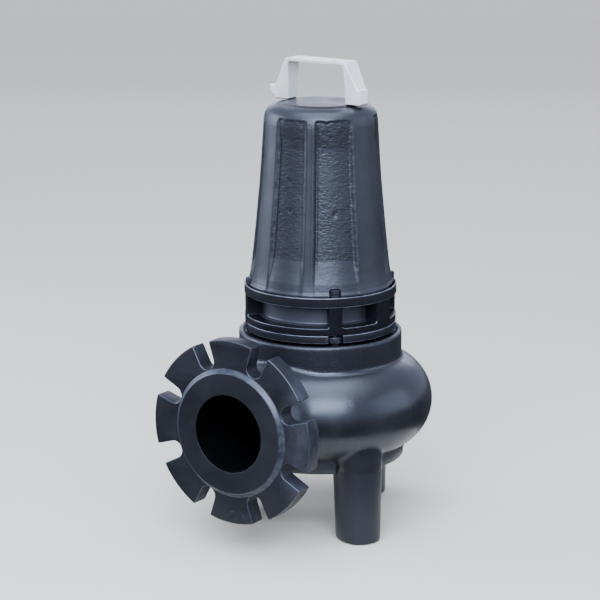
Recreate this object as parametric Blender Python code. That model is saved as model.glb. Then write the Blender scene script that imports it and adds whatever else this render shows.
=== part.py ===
"""Submersible sewage pump with a flanged outlet, standing on three cast legs.

Metres, +Z up.  The outlet flange faces -Y and the carrying handle runs along X.
"""
import math

import bmesh
import bpy
from mathutils import Matrix, Vector

# Gap kept between two pieces that touch.
GAP = 0.0003

# The pump axis stands this far behind the centre of the footprint.
AXIS_Y = 0.026

# Outlet flange, nominal bore 80, and its neck.
FLANGE_RADIUS = 0.100
FLANGE_THICKNESS = 0.020
FLANGE_FACE_Y = -0.1765
RAISED_FACE_RADIUS = 0.0675
RAISED_FACE_HEIGHT = 0.0045
OUTLET_BORE_RADIUS = 0.042
NECK_RADIUS = 0.052
SLOT_COUNT = 8
SLOT_ROOT_RADIUS = 0.0095
SLOT_CENTRE_RADIUS = 0.080
SLOT_MOUTH_HALF = 0.0112

# Volute casing: a round section swept about the pump axis.
VOLUTE_MID_Z = 0.137
VOLUTE_RING_RADIUS = 0.0726
VOLUTE_SECTION_RADIUS = 0.052
VOLUTE_WALL = 0.010
COLLAR_RADIUS = 0.090
COLLAR_TOP_Z = 0.216
COLLAR_SEAT_Z = 0.218
COLLAR_BORE_RADIUS = 0.0725
BASE_RING_RADIUS = 0.0942
BASE_RING_BOTTOM_Z = 0.0750
COVER_RECESS_RADIUS = 0.0755
COVER_RECESS_Z = 0.0813
SUCTION_MOUTH_RADIUS = 0.060

# Oval legs: half sizes away from the axis and across.
LEG_RADIUS = 0.093
LEG_ANGLES = (-30.0, 90.0, 210.0)
LEG_TOP_Z = 0.118
LEG_TOP_HALF = (0.0275, 0.0270)
LEG_FOOT_HALF = (0.0260, 0.0225)
LEG_LEAN = 0.0035
LEG_SQUARENESS = 2.3

# Suction cover under the volute.
COVER_RADIUS = 0.075
COVER_BOTTOM_Z = 0.074
SUCTION_BORE_RADIUS = 0.040
COVER_SCREW_CIRCLE = 0.0675
COVER_SCREW_ANGLES = (30.0, 150.0, 270.0)

# Pump shaft and impeller.
SHAFT_RADIUS = 0.011
IMPELLER_RADIUS = 0.056
IMPELLER_BLADES = 6

# Back plate in the mouth of the collar.
PLATE_RADIUS = 0.0836
PLATE_TOP_Z = 0.2272
PLATE_BOTTOM_Z = 0.1860

# Lantern between the casing and the motor.
LANTERN_RADIUS = 0.0838
LANTERN_BOTTOM_Z = 0.2275
LANTERN_SILL_Z = 0.235
LANTERN_LINTEL_Z = 0.258
LANTERN_TOP_Z = 0.2687
OIL_WALL_RADIUS = 0.063
WINDOWS = ((-130, -50), (-40, -9), (9, 40), (50, 130), (140, 171), (189, 220))
CLAMP_ANGLES = (-135.0, -45.0, 45.0, 135.0)
CLAMP_CIRCLE = 0.0785

# Motor shell: profile from foot to crown at its ribs.
SHELL_PROFILE = (
    (0.0800, 0.2690),
    (0.0800, 0.2715),
    (0.0775, 0.2780),
    (0.0755, 0.2900),
    (0.0738, 0.3050),
    (0.0712, 0.3300),
    (0.0688, 0.3550),
    (0.0665, 0.3800),
    (0.0646, 0.4050),
    (0.0632, 0.4300),
    (0.0622, 0.4480),
    (0.0612, 0.4545),
    (0.0585, 0.4600),
    (0.0535, 0.4632),
    (0.0440, 0.4642),
    (0.0412, 0.4648),
    (0.0404, 0.4668),
    (0.0390, 0.4680),
)
CROWN_Z = 0.4680
# Rough cast panels sunk between the ribs, as start and end angles.
PANELS = ((-104, -72), (-62, -25), (12, 27), (40, 50), (76, 108), (118, 155), (192, 207), (220, 230))
PANEL_DEPTH = 0.0035
PANEL_TOP_Z = 0.4540
PANEL_FOOT_Z = 0.2900
SHELL_SEGMENTS = 90

# Carrying handle.
HANDLE_TOP_Z = 0.5140
HANDLE_HALF_WIDTH = 0.0088
HANDLE_TOP_HALF_WIDTH = 0.0125
HANDLE_SHOULDER_Z = 0.4820
HANDLE_BAR = 0.0052

# Cable gland on the hidden side of the motor shell.
GLAND_Z = 0.425


def clear_scene():
    for item in list(bpy.data.objects):
        bpy.data.objects.remove(item, do_unlink=True)


def material(name, colour, roughness, metallic):
    made = bpy.data.materials.new(name)
    made.use_nodes = True
    shader = made.node_tree.nodes["Principled BSDF"]
    shader.inputs["Base Color"].default_value = (*colour, 1.0)
    shader.inputs["Roughness"].default_value = roughness
    shader.inputs["Metallic"].default_value = metallic
    made.diffuse_color = (*colour, 1.0)
    return made


def add_object(name, bm, mat=None, location=(0, 0, 0), turn_z=0.0, smooth=30.0):
    bmesh.ops.remove_doubles(bm, verts=bm.verts, dist=1e-6)
    bmesh.ops.recalc_face_normals(bm, faces=bm.faces)
    mesh = bpy.data.meshes.new(name)
    bm.to_mesh(mesh)
    bm.free()
    mesh.shade_smooth()
    mesh.set_sharp_from_angle(angle=math.radians(smooth))
    made = bpy.data.objects.new(name, mesh)
    bpy.context.collection.objects.link(made)
    if mat is not None:
        mesh.materials.append(mat)
    made.parent = pump_axis
    made.location = location
    made.rotation_euler = (0.0, 0.0, math.radians(turn_z))
    return made


def share_mesh(name, source, location, turn_z=0.0):
    made = bpy.data.objects.new(name, source.data)
    bpy.context.collection.objects.link(made)
    made.parent = pump_axis
    made.location = location
    made.rotation_euler = (0.0, 0.0, math.radians(turn_z))
    return made


def helper(made):
    made.hide_render = True
    made.display_type = "WIRE"
    return made


def combine(target, tool, operation, solver="EXACT"):
    step = target.modifiers.new(operation.title(), "BOOLEAN")
    step.operation = operation
    step.object = helper(tool)
    step.solver = solver
    return step


def turned(profile, segments=64, start=0.0, end=360.0):
    """Turns an outline of (radius, height) points about Z into a closed solid."""
    bm = bmesh.new()
    start_turn = Matrix.Rotation(math.radians(start), 3, "Z")
    verts = [bm.verts.new(start_turn @ Vector((radius, 0.0, height))) for radius, height in profile]
    whole = abs(end - start - 360.0) < 1e-6
    if whole:
        following = verts[1:] + verts[:1]
        geometry = verts + [bm.edges.new(pair) for pair in zip(verts, following)]
    else:
        geometry = [bm.faces.new(verts)]
    bmesh.ops.spin(
        bm,
        geom=geometry,
        cent=(0, 0, 0),
        axis=(0, 0, 1),
        angle=math.radians(end - start),
        steps=segments,
        use_merge=whole,
    )
    bmesh.ops.remove_doubles(bm, verts=bm.verts, dist=1e-6)
    bmesh.ops.dissolve_degenerate(bm, edges=bm.edges, dist=1e-7)
    bmesh.ops.recalc_face_normals(bm, faces=bm.faces)
    return bm


def turned_on_axis(profile, segments=64):
    """Turns an open outline that starts and ends on the axis."""
    bm = bmesh.new()
    verts = [bm.verts.new((radius, 0.0, height)) for radius, height in profile]
    edges = [bm.edges.new((verts[i], verts[i + 1])) for i in range(len(verts) - 1)]
    bmesh.ops.spin(
        bm,
        geom=verts + edges,
        cent=(0, 0, 0),
        axis=(0, 0, 1),
        angle=math.tau,
        steps=segments,
        use_merge=True,
    )
    bmesh.ops.remove_doubles(bm, verts=bm.verts, dist=1e-6)
    bmesh.ops.dissolve_degenerate(bm, edges=bm.edges, dist=1e-7)
    bmesh.ops.recalc_face_normals(bm, faces=bm.faces)
    return bm


def prism(outline, bottom, top):
    """Extrudes an outline in the XY plane between two heights."""
    bm = bmesh.new()
    face = bm.faces.new([bm.verts.new((x, y, bottom)) for x, y in outline])
    lifted = bmesh.ops.extrude_face_region(bm, geom=[face])
    moved = [item for item in lifted["geom"] if isinstance(item, bmesh.types.BMVert)]
    bmesh.ops.translate(bm, verts=moved, vec=(0, 0, top - bottom))
    bmesh.ops.recalc_face_normals(bm, faces=bm.faces)
    return bm


def lofted(rings):
    """Joins closed rings of equal length with faces and caps the two ends."""
    bm = bmesh.new()
    made = [[bm.verts.new(point) for point in ring] for ring in rings]
    count = len(made[0])
    for lower, upper in zip(made, made[1:]):
        for i in range(count):
            j = (i + 1) % count
            bm.faces.new((lower[i], lower[j], upper[j], upper[i]))
    bm.faces.new(made[0])
    bm.faces.new(made[-1])
    bmesh.ops.recalc_face_normals(bm, faces=bm.faces)
    return bm


def rounded_rectangle(half_x, half_y, radius, steps=5):
    points = []
    corners = ((1, 1, 0), (-1, 1, 90), (-1, -1, 180), (1, -1, 270))
    for sign_x, sign_y, first in corners:
        centre_x = sign_x * (half_x - radius)
        centre_y = sign_y * (half_y - radius)
        for i in range(steps + 1):
            angle = math.radians(first + 90.0 * i / steps)
            points.append((centre_x + radius * math.cos(angle), centre_y + radius * math.sin(angle)))
    return points


def oval(half_x, half_y, power, count=28):
    """Outline between an ellipse (power 2) and a rectangle (a high power)."""
    points = []
    for i in range(count):
        angle = math.tau * i / count
        x, y = math.cos(angle), math.sin(angle)
        points.append((
            math.copysign(half_x * abs(x) ** (2.0 / power), x),
            math.copysign(half_y * abs(y) ** (2.0 / power), y),
        ))
    return points


def circle(radius, count, turn=0.0):
    step = math.tau / count
    return [
        (radius * math.cos(turn + i * step), radius * math.sin(turn + i * step))
        for i in range(count)
    ]


def face_outlet(bm):
    """Turns a solid made about +Z so that its top looks along -Y."""
    bmesh.ops.rotate(bm, verts=bm.verts, cent=(0, 0, 0), matrix=Matrix.Rotation(math.pi / 2, 3, "X"))
    return bm


def polar(radius, angle):
    return (radius * math.cos(math.radians(angle)), radius * math.sin(math.radians(angle)))


clear_scene()
pump_axis = bpy.data.objects.new("pump_axis", None)
bpy.context.collection.objects.link(pump_axis)
pump_axis.location = (0.0, AXIS_Y, 0.0)

cast_paint = material("cast_paint", (0.030, 0.036, 0.048), 0.42, 0.0)
handle_metal = material("handle_metal", (0.62, 0.63, 0.65), 0.34, 0.9)
bolt_steel = material("bolt_steel", (0.060, 0.065, 0.075), 0.40, 0.6)
impeller_paint = material("impeller_paint", (0.045, 0.050, 0.060), 0.50, 0.2)
shaft_steel = material("shaft_steel", (0.55, 0.56, 0.58), 0.30, 1.0)
gland_black = material("gland_black", (0.020, 0.020, 0.022), 0.50, 0.0)


# Volute casing: hollow ring, collar, outlet neck with its flange, and legs.
def volute_outline():
    """Half section of the casing wall, outer side first and then the inner side."""
    outer = []
    collar_angle = math.asin((COLLAR_TOP_Z - 0.030 - VOLUTE_MID_Z) / VOLUTE_SECTION_RADIUS)
    ring_angle = -math.asin((VOLUTE_MID_Z - 0.0905) / VOLUTE_SECTION_RADIUS)
    steps = 12
    for i in range(steps + 1):
        angle = collar_angle + (ring_angle - collar_angle) * i / steps
        outer.append((
            VOLUTE_RING_RADIUS + VOLUTE_SECTION_RADIUS * math.cos(angle),
            VOLUTE_MID_Z + VOLUTE_SECTION_RADIUS * math.sin(angle),
        ))
    inner_radius = VOLUTE_SECTION_RADIUS - VOLUTE_WALL
    inner = []
    for i in range(9):
        angle = math.radians(-88.0 + 176.0 * i / 8)
        inner.append((
            VOLUTE_RING_RADIUS + inner_radius * math.cos(angle),
            VOLUTE_MID_Z + inner_radius * math.sin(angle),
        ))
    points = [
        (COLLAR_BORE_RADIUS, COLLAR_SEAT_Z),
        (0.0842, COLLAR_SEAT_Z),
        (0.0846, 0.2130),
        (0.0862, 0.2130),
        (0.0866, 0.2150),
        (0.0880, 0.2160),
        (0.0893, 0.2154),
        (COLLAR_RADIUS, 0.2140),
        (COLLAR_RADIUS, outer[0][1] + 0.002),
    ]
    points += outer
    points += [
        (BASE_RING_RADIUS, 0.0890),
        (BASE_RING_RADIUS, 0.0835),
        (BASE_RING_RADIUS - 0.0012, 0.0828),
        (BASE_RING_RADIUS - 0.0012, BASE_RING_BOTTOM_Z + 0.001),
        (BASE_RING_RADIUS - 0.0022, BASE_RING_BOTTOM_Z),
        (COVER_RECESS_RADIUS, BASE_RING_BOTTOM_Z),
        (COVER_RECESS_RADIUS, COVER_RECESS_Z),
        (SUCTION_MOUTH_RADIUS, COVER_RECESS_Z),
        (SUCTION_MOUTH_RADIUS, inner[0][1]),
    ]
    points += inner
    points += [(COLLAR_BORE_RADIUS, inner[-1][1] + 0.001)]
    return points


casing = add_object("volute_casing", turned(volute_outline(), 52), cast_paint)

neck = add_object(
    "neck_solid",
    face_outlet(turned_on_axis(
        [
            (0.0, 0.090),
            (NECK_RADIUS, 0.090),
            (NECK_RADIUS, 0.135),
            (0.0545, 0.147),
            (0.0600, -FLANGE_FACE_Y - RAISED_FACE_HEIGHT - FLANGE_THICKNESS),
            (FLANGE_RADIUS - 0.0015, -FLANGE_FACE_Y - RAISED_FACE_HEIGHT - FLANGE_THICKNESS),
            (FLANGE_RADIUS, -FLANGE_FACE_Y - RAISED_FACE_HEIGHT - FLANGE_THICKNESS + 0.0015),
            (FLANGE_RADIUS, -FLANGE_FACE_Y - RAISED_FACE_HEIGHT - 0.0015),
            (FLANGE_RADIUS - 0.0015, -FLANGE_FACE_Y - RAISED_FACE_HEIGHT),
            (RAISED_FACE_RADIUS + 0.001, -FLANGE_FACE_Y - RAISED_FACE_HEIGHT),
            (RAISED_FACE_RADIUS, -FLANGE_FACE_Y - 0.0015),
            (RAISED_FACE_RADIUS - 0.0015, -FLANGE_FACE_Y),
            (0.0, -FLANGE_FACE_Y),
        ],
        64,
    )),
    location=(0, 0, VOLUTE_MID_Z),
)
combine(casing, neck, "UNION")

for number, angle in enumerate(LEG_ANGLES, 1):
    rings = []
    for height, inset in ((0.0, 0.0012), (0.0012, 0.0), (0.060, 0.0), (LEG_TOP_Z, 0.0)):
        rise = height / LEG_TOP_Z
        half_out, half_across = (
            foot + (top - foot) * rise - inset for foot, top in zip(LEG_FOOT_HALF, LEG_TOP_HALF)
        )
        middle = LEG_RADIUS - LEG_LEAN * rise
        rings.append([(middle + x, y, height) for x, y in oval(half_out, half_across, LEG_SQUARENESS)])
    leg = add_object(f"leg_solid_{number}", lofted(rings), turn_z=angle)
    combine(casing, leg, "UNION")

# The volute's hollow, the outlet bore and the slots are cut after the solids are joined.
hollow_angles = [math.radians(-88.0 + 176.0 * i / 8) for i in range(9)]
hollow_radius = VOLUTE_SECTION_RADIUS - VOLUTE_WALL
hollow = add_object(
    "hollow_cut",
    turned(
        [(0.030, 0.0960)]
        + [
            (
                VOLUTE_RING_RADIUS + (hollow_radius - 0.0002) * math.cos(angle),
                VOLUTE_MID_Z + (hollow_radius - 0.0002) * math.sin(angle),
            )
            for angle in hollow_angles
        ]
        + [(0.030, 0.1780)],
        52,
    ),
)
combine(casing, hollow, "DIFFERENCE")

bore = add_object(
    "bore_cut",
    face_outlet(turned_on_axis(
        [
            (0.0, 0.060),
            (OUTLET_BORE_RADIUS - 0.0015, 0.060),
            (OUTLET_BORE_RADIUS - 0.0005, -FLANGE_FACE_Y - 0.012),
            (OUTLET_BORE_RADIUS, -FLANGE_FACE_Y - 0.0015),
            (OUTLET_BORE_RADIUS + 0.003, -FLANGE_FACE_Y + 0.0015),
            (0.0, -FLANGE_FACE_Y + 0.0015),
        ],
        56,
    )),
    location=(0, 0, VOLUTE_MID_Z),
)
combine(casing, bore, "DIFFERENCE")

for number in range(SLOT_COUNT):
    outline = [(0.108, -SLOT_MOUTH_HALF)]
    outline.append((0.108, SLOT_MOUTH_HALF))
    for i in range(9):
        angle = math.radians(100.0 + 160.0 * i / 8)
        outline.append((
            SLOT_CENTRE_RADIUS + SLOT_ROOT_RADIUS * math.cos(angle),
            SLOT_ROOT_RADIUS * math.sin(angle),
        ))
    slot_bm = prism(outline, 0.1445, 0.185)
    slot_turn = Matrix.Rotation(math.radians(22.5 + 45.0 * number), 3, "Z")
    bmesh.ops.rotate(slot_bm, verts=slot_bm.verts, cent=(0, 0, 0), matrix=slot_turn)
    slot = add_object(f"slot_cut_{number + 1}", face_outlet(slot_bm), location=(0, 0, VOLUTE_MID_Z))
    combine(casing, slot, "DIFFERENCE")

# The recess for the suction cover also clears the inner faces of the legs.
recess = add_object(
    "recess_cut",
    turned_on_axis(
        [
            (0.0, -0.010),
            (COVER_RECESS_RADIUS, -0.010),
            (COVER_RECESS_RADIUS, COVER_RECESS_Z),
            (0.0, COVER_RECESS_Z),
        ],
        60,
    ),
)
combine(casing, recess, "DIFFERENCE")

for number, angle in enumerate(CLAMP_ANGLES, 1):
    hole = add_object(
        f"clamp_hole_{number}",
        turned_on_axis([(0, 0.200), (0.0043, 0.200), (0.0043, 0.222), (0, 0.222)], 16),
        location=(*polar(CLAMP_CIRCLE, angle), 0),
    )
    combine(casing, hole, "DIFFERENCE")

for number, angle in enumerate(COVER_SCREW_ANGLES, 1):
    hole = add_object(
        f"cover_hole_{number}",
        turned_on_axis([(0, 0.079), (0.0033, 0.079), (0.0033, 0.0905), (0, 0.0905)], 14),
        location=(*polar(COVER_SCREW_CIRCLE, angle), 0),
    )
    combine(casing, hole, "DIFFERENCE")

# Suction cover: plate under the casing with a raised lip round its bore.
cover = add_object(
    "suction_cover",
    turned(
        [
            (SUCTION_BORE_RADIUS, COVER_BOTTOM_Z + 0.0015),
            (SUCTION_BORE_RADIUS + 0.0015, COVER_BOTTOM_Z),
            (COVER_RADIUS - 0.001, COVER_BOTTOM_Z),
            (COVER_RADIUS, COVER_BOTTOM_Z + 0.001),
            (COVER_RADIUS, COVER_RECESS_Z - GAP),
            (SUCTION_MOUTH_RADIUS - 0.0005, COVER_RECESS_Z - GAP),
            (SUCTION_MOUTH_RADIUS - 0.0005, 0.0930),
            (0.0520, 0.0965),
            (SUCTION_BORE_RADIUS + 0.0030, 0.1010),
            (SUCTION_BORE_RADIUS, 0.1010),
        ],
        48,
    ),
    cast_paint,
)
screw_profile = [
    (0.0, COVER_BOTTOM_Z - 0.0012),
    (0.0055, COVER_BOTTOM_Z - 0.0012),
    (0.0060, COVER_BOTTOM_Z - 0.0007),
    (0.0060, COVER_BOTTOM_Z + 0.0035),
    (0.0029, COVER_BOTTOM_Z + 0.0035),
    (0.0029, 0.0880),
    (0.0, 0.0880),
]
first_screw = None
for number, angle in enumerate(COVER_SCREW_ANGLES, 1):
    centre = (*polar(COVER_SCREW_CIRCLE, angle), 0)
    pocket = add_object(
        f"cover_pocket_{number}",
        turned_on_axis(
            [
                (0.0, COVER_BOTTOM_Z - 0.002),
                (0.0064, COVER_BOTTOM_Z - 0.002),
                (0.0064, COVER_BOTTOM_Z + 0.0038),
                (0.0033, COVER_BOTTOM_Z + 0.0038),
                (0.0033, 0.0830),
                (0.0, 0.0830),
            ],
            20,
        ),
        location=centre,
    )
    combine(cover, pocket, "DIFFERENCE")
    name = f"cover_screw_{number}"
    if first_screw is None:
        first_screw = add_object(name, turned_on_axis(screw_profile, 14), bolt_steel, centre)
    else:
        share_mesh(name, first_screw, centre)

# Back plate: closes the collar and carries the shaft seal.
plate = add_object(
    "back_plate",
    turned_on_axis(
        [
            (0.0, PLATE_BOTTOM_Z),
            (0.0260, PLATE_BOTTOM_Z),
            (0.0320, 0.1950),
            (COLLAR_BORE_RADIUS - 0.0005, 0.1950),
            (COLLAR_BORE_RADIUS - 0.0005, COLLAR_SEAT_Z + GAP),
            (PLATE_RADIUS - 0.001, COLLAR_SEAT_Z + GAP),
            (PLATE_RADIUS, COLLAR_SEAT_Z + 0.001),
            (PLATE_RADIUS, PLATE_TOP_Z - 0.001),
            (PLATE_RADIUS - 0.001, PLATE_TOP_Z),
            (0.0, PLATE_TOP_Z),
        ],
        60,
    ),
    cast_paint,
)
for number, angle in enumerate(CLAMP_ANGLES, 1):
    outline = [(0.0900, -0.0080), (0.0900, 0.0080), (0.0718, 0.0080), (0.0706, 0.0068)]
    outline += [(0.0706, -0.0068), (0.0718, -0.0080)]
    notch = add_object(f"plate_notch_{number}", prism(outline, 0.2150, 0.2300), turn_z=angle)
    combine(plate, notch, "DIFFERENCE")

# Lantern: lower band, wall of the oil chamber, columns and upper ring in one casting.
lantern = add_object(
    "lantern",
    turned_on_axis(
        [
            (0.0, LANTERN_BOTTOM_Z),
            (LANTERN_RADIUS - 0.0010, LANTERN_BOTTOM_Z),
            (LANTERN_RADIUS, LANTERN_BOTTOM_Z + 0.0010),
            (LANTERN_RADIUS, LANTERN_SILL_Z),
            (LANTERN_RADIUS, LANTERN_LINTEL_Z),
            (LANTERN_RADIUS, LANTERN_TOP_Z - 0.0012),
            (LANTERN_RADIUS - 0.0012, LANTERN_TOP_Z),
            (0.0, LANTERN_TOP_Z),
        ],
        72,
    ),
    cast_paint,
)
for number, (start, end) in enumerate(WINDOWS, 1):
    steps = max(6, round((end - start) / 4))
    window = add_object(
        f"window_cut_{number}",
        turned(
            [
                (OIL_WALL_RADIUS, LANTERN_SILL_Z),
                (0.0900, LANTERN_SILL_Z),
                (0.0900, LANTERN_LINTEL_Z),
                (OIL_WALL_RADIUS, LANTERN_LINTEL_Z),
            ],
            steps,
            start,
            end,
        ),
    )
    combine(lantern, window, "DIFFERENCE")

plug_hole = add_object(
    "plug_hole",
    turned_on_axis([(0, 0.0770), (0.0072, 0.0770), (0.0072, 0.0860), (0, 0.0860)], 20),
    location=(0, 0, 0.2465),
)
plug_hole.rotation_euler = (0.0, math.radians(90.0), 0.0)
combine(lantern, plug_hole, "DIFFERENCE")
oil_plug = add_object(
    "oil_plug",
    turned_on_axis(
        [
            (0.0, 0.0770 + GAP),
            (0.0068, 0.0770 + GAP),
            (0.0068, 0.0822),
            (0.0062, 0.0828),
            (0.0, 0.0828),
        ],
        20,
    ),
    bolt_steel,
    location=(0, 0, 0.2465),
)
oil_plug.rotation_euler = (0.0, math.radians(90.0), 0.0)

# Clamp bolts that stand in the notches of the back plate.
clamp_profile = [
    (0.0, 0.2020),
    (0.0039, 0.2020),
    (0.0039, COLLAR_SEAT_Z + GAP),
    (0.0070, COLLAR_SEAT_Z + GAP),
    (0.0070, COLLAR_SEAT_Z + 0.0062),
    (0.0062, COLLAR_SEAT_Z + 0.0070),
    (0.0036, COLLAR_SEAT_Z + 0.0070),
    (0.0036, LANTERN_BOTTOM_Z - GAP),
    (0.0, LANTERN_BOTTOM_Z - GAP),
]
first_clamp = None
for number, angle in enumerate(CLAMP_ANGLES, 1):
    centre = (*polar(CLAMP_CIRCLE, angle), 0)
    name = f"clamp_bolt_{number}"
    if first_clamp is None:
        first_clamp = add_object(name, turned_on_axis(clamp_profile, 14), bolt_steel, centre)
    else:
        share_mesh(name, first_clamp, centre)


# Motor shell: ribs run from crown to foot with cast panels sunk between them.
def panel_share(angle):
    """One inside a panel, nought on a rib, with a short slope between."""
    best = 0.0
    for start, end in PANELS:
        middle = 0.5 * (start + end)
        half = 0.5 * (end - start)
        away = abs((angle - middle + 180.0) % 360.0 - 180.0)
        best = max(best, min(1.0, max(0.0, (half - away) / 3.0 + 0.5)))
    return best


def shell_ring(radius, height):
    points = []
    upper = min(1.0, max(0.0, (PANEL_TOP_Z - height) / 0.006))
    lower = min(1.0, max(0.0, (height - PANEL_FOOT_Z) / 0.020))
    for i in range(SHELL_SEGMENTS):
        angle = 360.0 * i / SHELL_SEGMENTS
        cut = PANEL_DEPTH * panel_share(angle) * upper * lower
        points.append((*polar(radius - cut, angle), height))
    return points


def shell_levels():
    """Outline points with extra ones where the panels begin and end."""
    extra = (PANEL_FOOT_Z, PANEL_FOOT_Z + 0.020, PANEL_TOP_Z - 0.006, PANEL_TOP_Z)
    levels = dict((height, radius) for radius, height in SHELL_PROFILE)
    heights = sorted(levels)
    for height in extra:
        if height in levels:
            continue
        below = max(value for value in heights if value < height)
        above = min(value for value in heights if value > height)
        share = (height - below) / (above - below)
        levels[height] = levels[below] + share * (levels[above] - levels[below])
    return [(levels[height], height) for height in sorted(levels)]


shell = add_object(
    "motor_shell",
    lofted([shell_ring(radius, height) for radius, height in shell_levels()]),
    cast_paint,
)
for number, angle in enumerate((0.0, 180.0), 1):
    outline = [(0.043 + x, y) for x, y in rounded_rectangle(0.0085, 0.0075, 0.003, 3)]
    pad = add_object(f"handle_pad_{number}", prism(outline, 0.4560, CROWN_Z), turn_z=angle)
    combine(shell, pad, "UNION")

for number, angle in enumerate(CLAMP_ANGLES, 1):
    outline = rounded_rectangle(0.0130, 0.0095, 0.0080, 3)
    outline = [(0.0845 + x, y) for x, y in outline]
    pocket = add_object(f"bolt_pocket_{number}", prism(outline, 0.2600, 0.2850), turn_z=angle)
    combine(shell, pocket, "DIFFERENCE")

ring_bolt_rings = []
for height, radius in ((0.2690, 0.0056), (0.2760, 0.0056), (0.2768, 0.0050)):
    ring_bolt_rings.append([(x, y, height) for x, y in circle(radius, 6)])
first_ring_bolt = None
for number, angle in enumerate(CLAMP_ANGLES, 1):
    centre = (*polar(CLAMP_CIRCLE - 0.0005, angle), 0)
    name = f"motor_bolt_{number}"
    if first_ring_bolt is None:
        first_ring_bolt = add_object(name, lofted(ring_bolt_rings), bolt_steel, centre, angle)
    else:
        share_mesh(name, first_ring_bolt, centre, angle)

# The shaft's lower end, the impeller and its nut.
add_object(
    "shaft",
    turned_on_axis(
        [
            (0.0, 0.1180),
            (0.0055, 0.1180),
            (0.0060, 0.1190),
            (0.0060, 0.1420),
            (SHAFT_RADIUS, 0.1420),
            (SHAFT_RADIUS, PLATE_BOTTOM_Z - GAP),
            (0.0, PLATE_BOTTOM_Z - GAP),
        ],
        28,
    ),
    shaft_steel,
)
impeller = add_object(
    "impeller",
    turned(
        [
            (0.0063, 0.1290),
            (0.0150, 0.1290),
            (0.0190, 0.1400),
            (0.0250, 0.1720),
            (0.0300, 0.1745),
            (IMPELLER_RADIUS, 0.1745),
            (IMPELLER_RADIUS, 0.1800),
            (0.0160, 0.1800),
            (0.0150, 0.1835),
            (SHAFT_RADIUS + 0.0003, 0.1835),
            (SHAFT_RADIUS + 0.0003, 0.1420 - GAP),
            (0.0063, 0.1420 - GAP),
        ],
        48,
    ),
    impeller_paint,
)
for number in range(IMPELLER_BLADES):
    rings = []
    for height, thickness in ((0.1500, 0.0022), (0.1770, 0.0028)):
        front = []
        rear = []
        for i in range(7):
            share = i / 6
            radius = 0.0150 + (IMPELLER_RADIUS - 0.0160) * share
            angle = -38.0 * share
            x, y = polar(radius, angle)
            nx, ny = polar(thickness, angle + 90.0 - 20.0)
            front.append((x + nx, y + ny, height))
            rear.append((x - nx, y - ny, height))
        rings.append(front + rear[::-1])
    blade = add_object(f"blade_{number + 1}", lofted(rings), turn_z=60.0 * number)
    combine(impeller, blade, "UNION")
nut_rings = [
    [(x, y, height) for x, y in circle(radius, 6)]
    for height, radius in ((0.1195, 0.0095), (0.1205, 0.0105), (0.1287, 0.0105))
]
nut = add_object("impeller_nut", lofted(nut_rings), bolt_steel)
nut_hole = add_object(
    "nut_hole",
    turned_on_axis([(0, 0.110), (0.0063, 0.110), (0.0063, 0.135), (0, 0.135)], 24),
)
combine(nut, nut_hole, "DIFFERENCE")


# Handle: a flat bar on two wedge legs, bolted to the crown.
def handle_outline():
    """Half of the handle's side view, (x, z), from the inside of a foot round to the bar."""
    foot = CROWN_Z + GAP
    inner = [
        (0.0, HANDLE_TOP_Z - HANDLE_BAR),
        (0.0280, HANDLE_TOP_Z - HANDLE_BAR + 0.0002),
        (0.0322, HANDLE_TOP_Z - HANDLE_BAR - 0.0010),
        (0.0345, HANDLE_TOP_Z - HANDLE_BAR - 0.0042),
        (0.0355, 0.4950),
        (0.0368, HANDLE_SHOULDER_Z),
        (0.0368, foot),
    ]
    outer = [
        (0.0545, foot),
        (0.0545, HANDLE_SHOULDER_Z),
        (0.0525, HANDLE_SHOULDER_Z + 0.0010),
        (0.0392, HANDLE_TOP_Z - 0.0012),
        (0.0378, HANDLE_TOP_Z),
        (0.0, HANDLE_TOP_Z),
    ]
    return inner + outer


half = handle_outline()
whole_outline = [(x, z) for x, z in half] + [(-x, z) for x, z in reversed(half[1:-1])]
handle_bm = prism(whole_outline, -HANDLE_HALF_WIDTH, HANDLE_HALF_WIDTH)
bmesh.ops.rotate(
    handle_bm,
    verts=handle_bm.verts,
    cent=(0, 0, 0),
    matrix=Matrix.Rotation(math.pi / 2, 3, "X"),
)
for vert in handle_bm.verts:
    rise = (vert.co.z - HANDLE_SHOULDER_Z) / (HANDLE_TOP_Z - HANDLE_SHOULDER_Z)
    rise = min(1.0, max(0.0, rise))
    half_width = HANDLE_HALF_WIDTH + (HANDLE_TOP_HALF_WIDTH - HANDLE_HALF_WIDTH) * rise
    vert.co.y *= half_width / HANDLE_HALF_WIDTH
handle = add_object("handle", handle_bm, handle_metal)
lug_rings = [
    [(x, y, z) for x, z in ((-0.0530, 0.4690), (-0.0530, 0.4810), (-0.0615, 0.4805), (-0.0600, 0.4770))]
    for y in (-0.0030, 0.0060)
]
lug = add_object("handle_lug_solid", lofted(lug_rings))
combine(handle, lug, "UNION")
soften = handle.modifiers.new("Bevel", "BEVEL")
soften.width = 0.0008
soften.segments = 1
soften.limit_method = "ANGLE"

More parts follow.
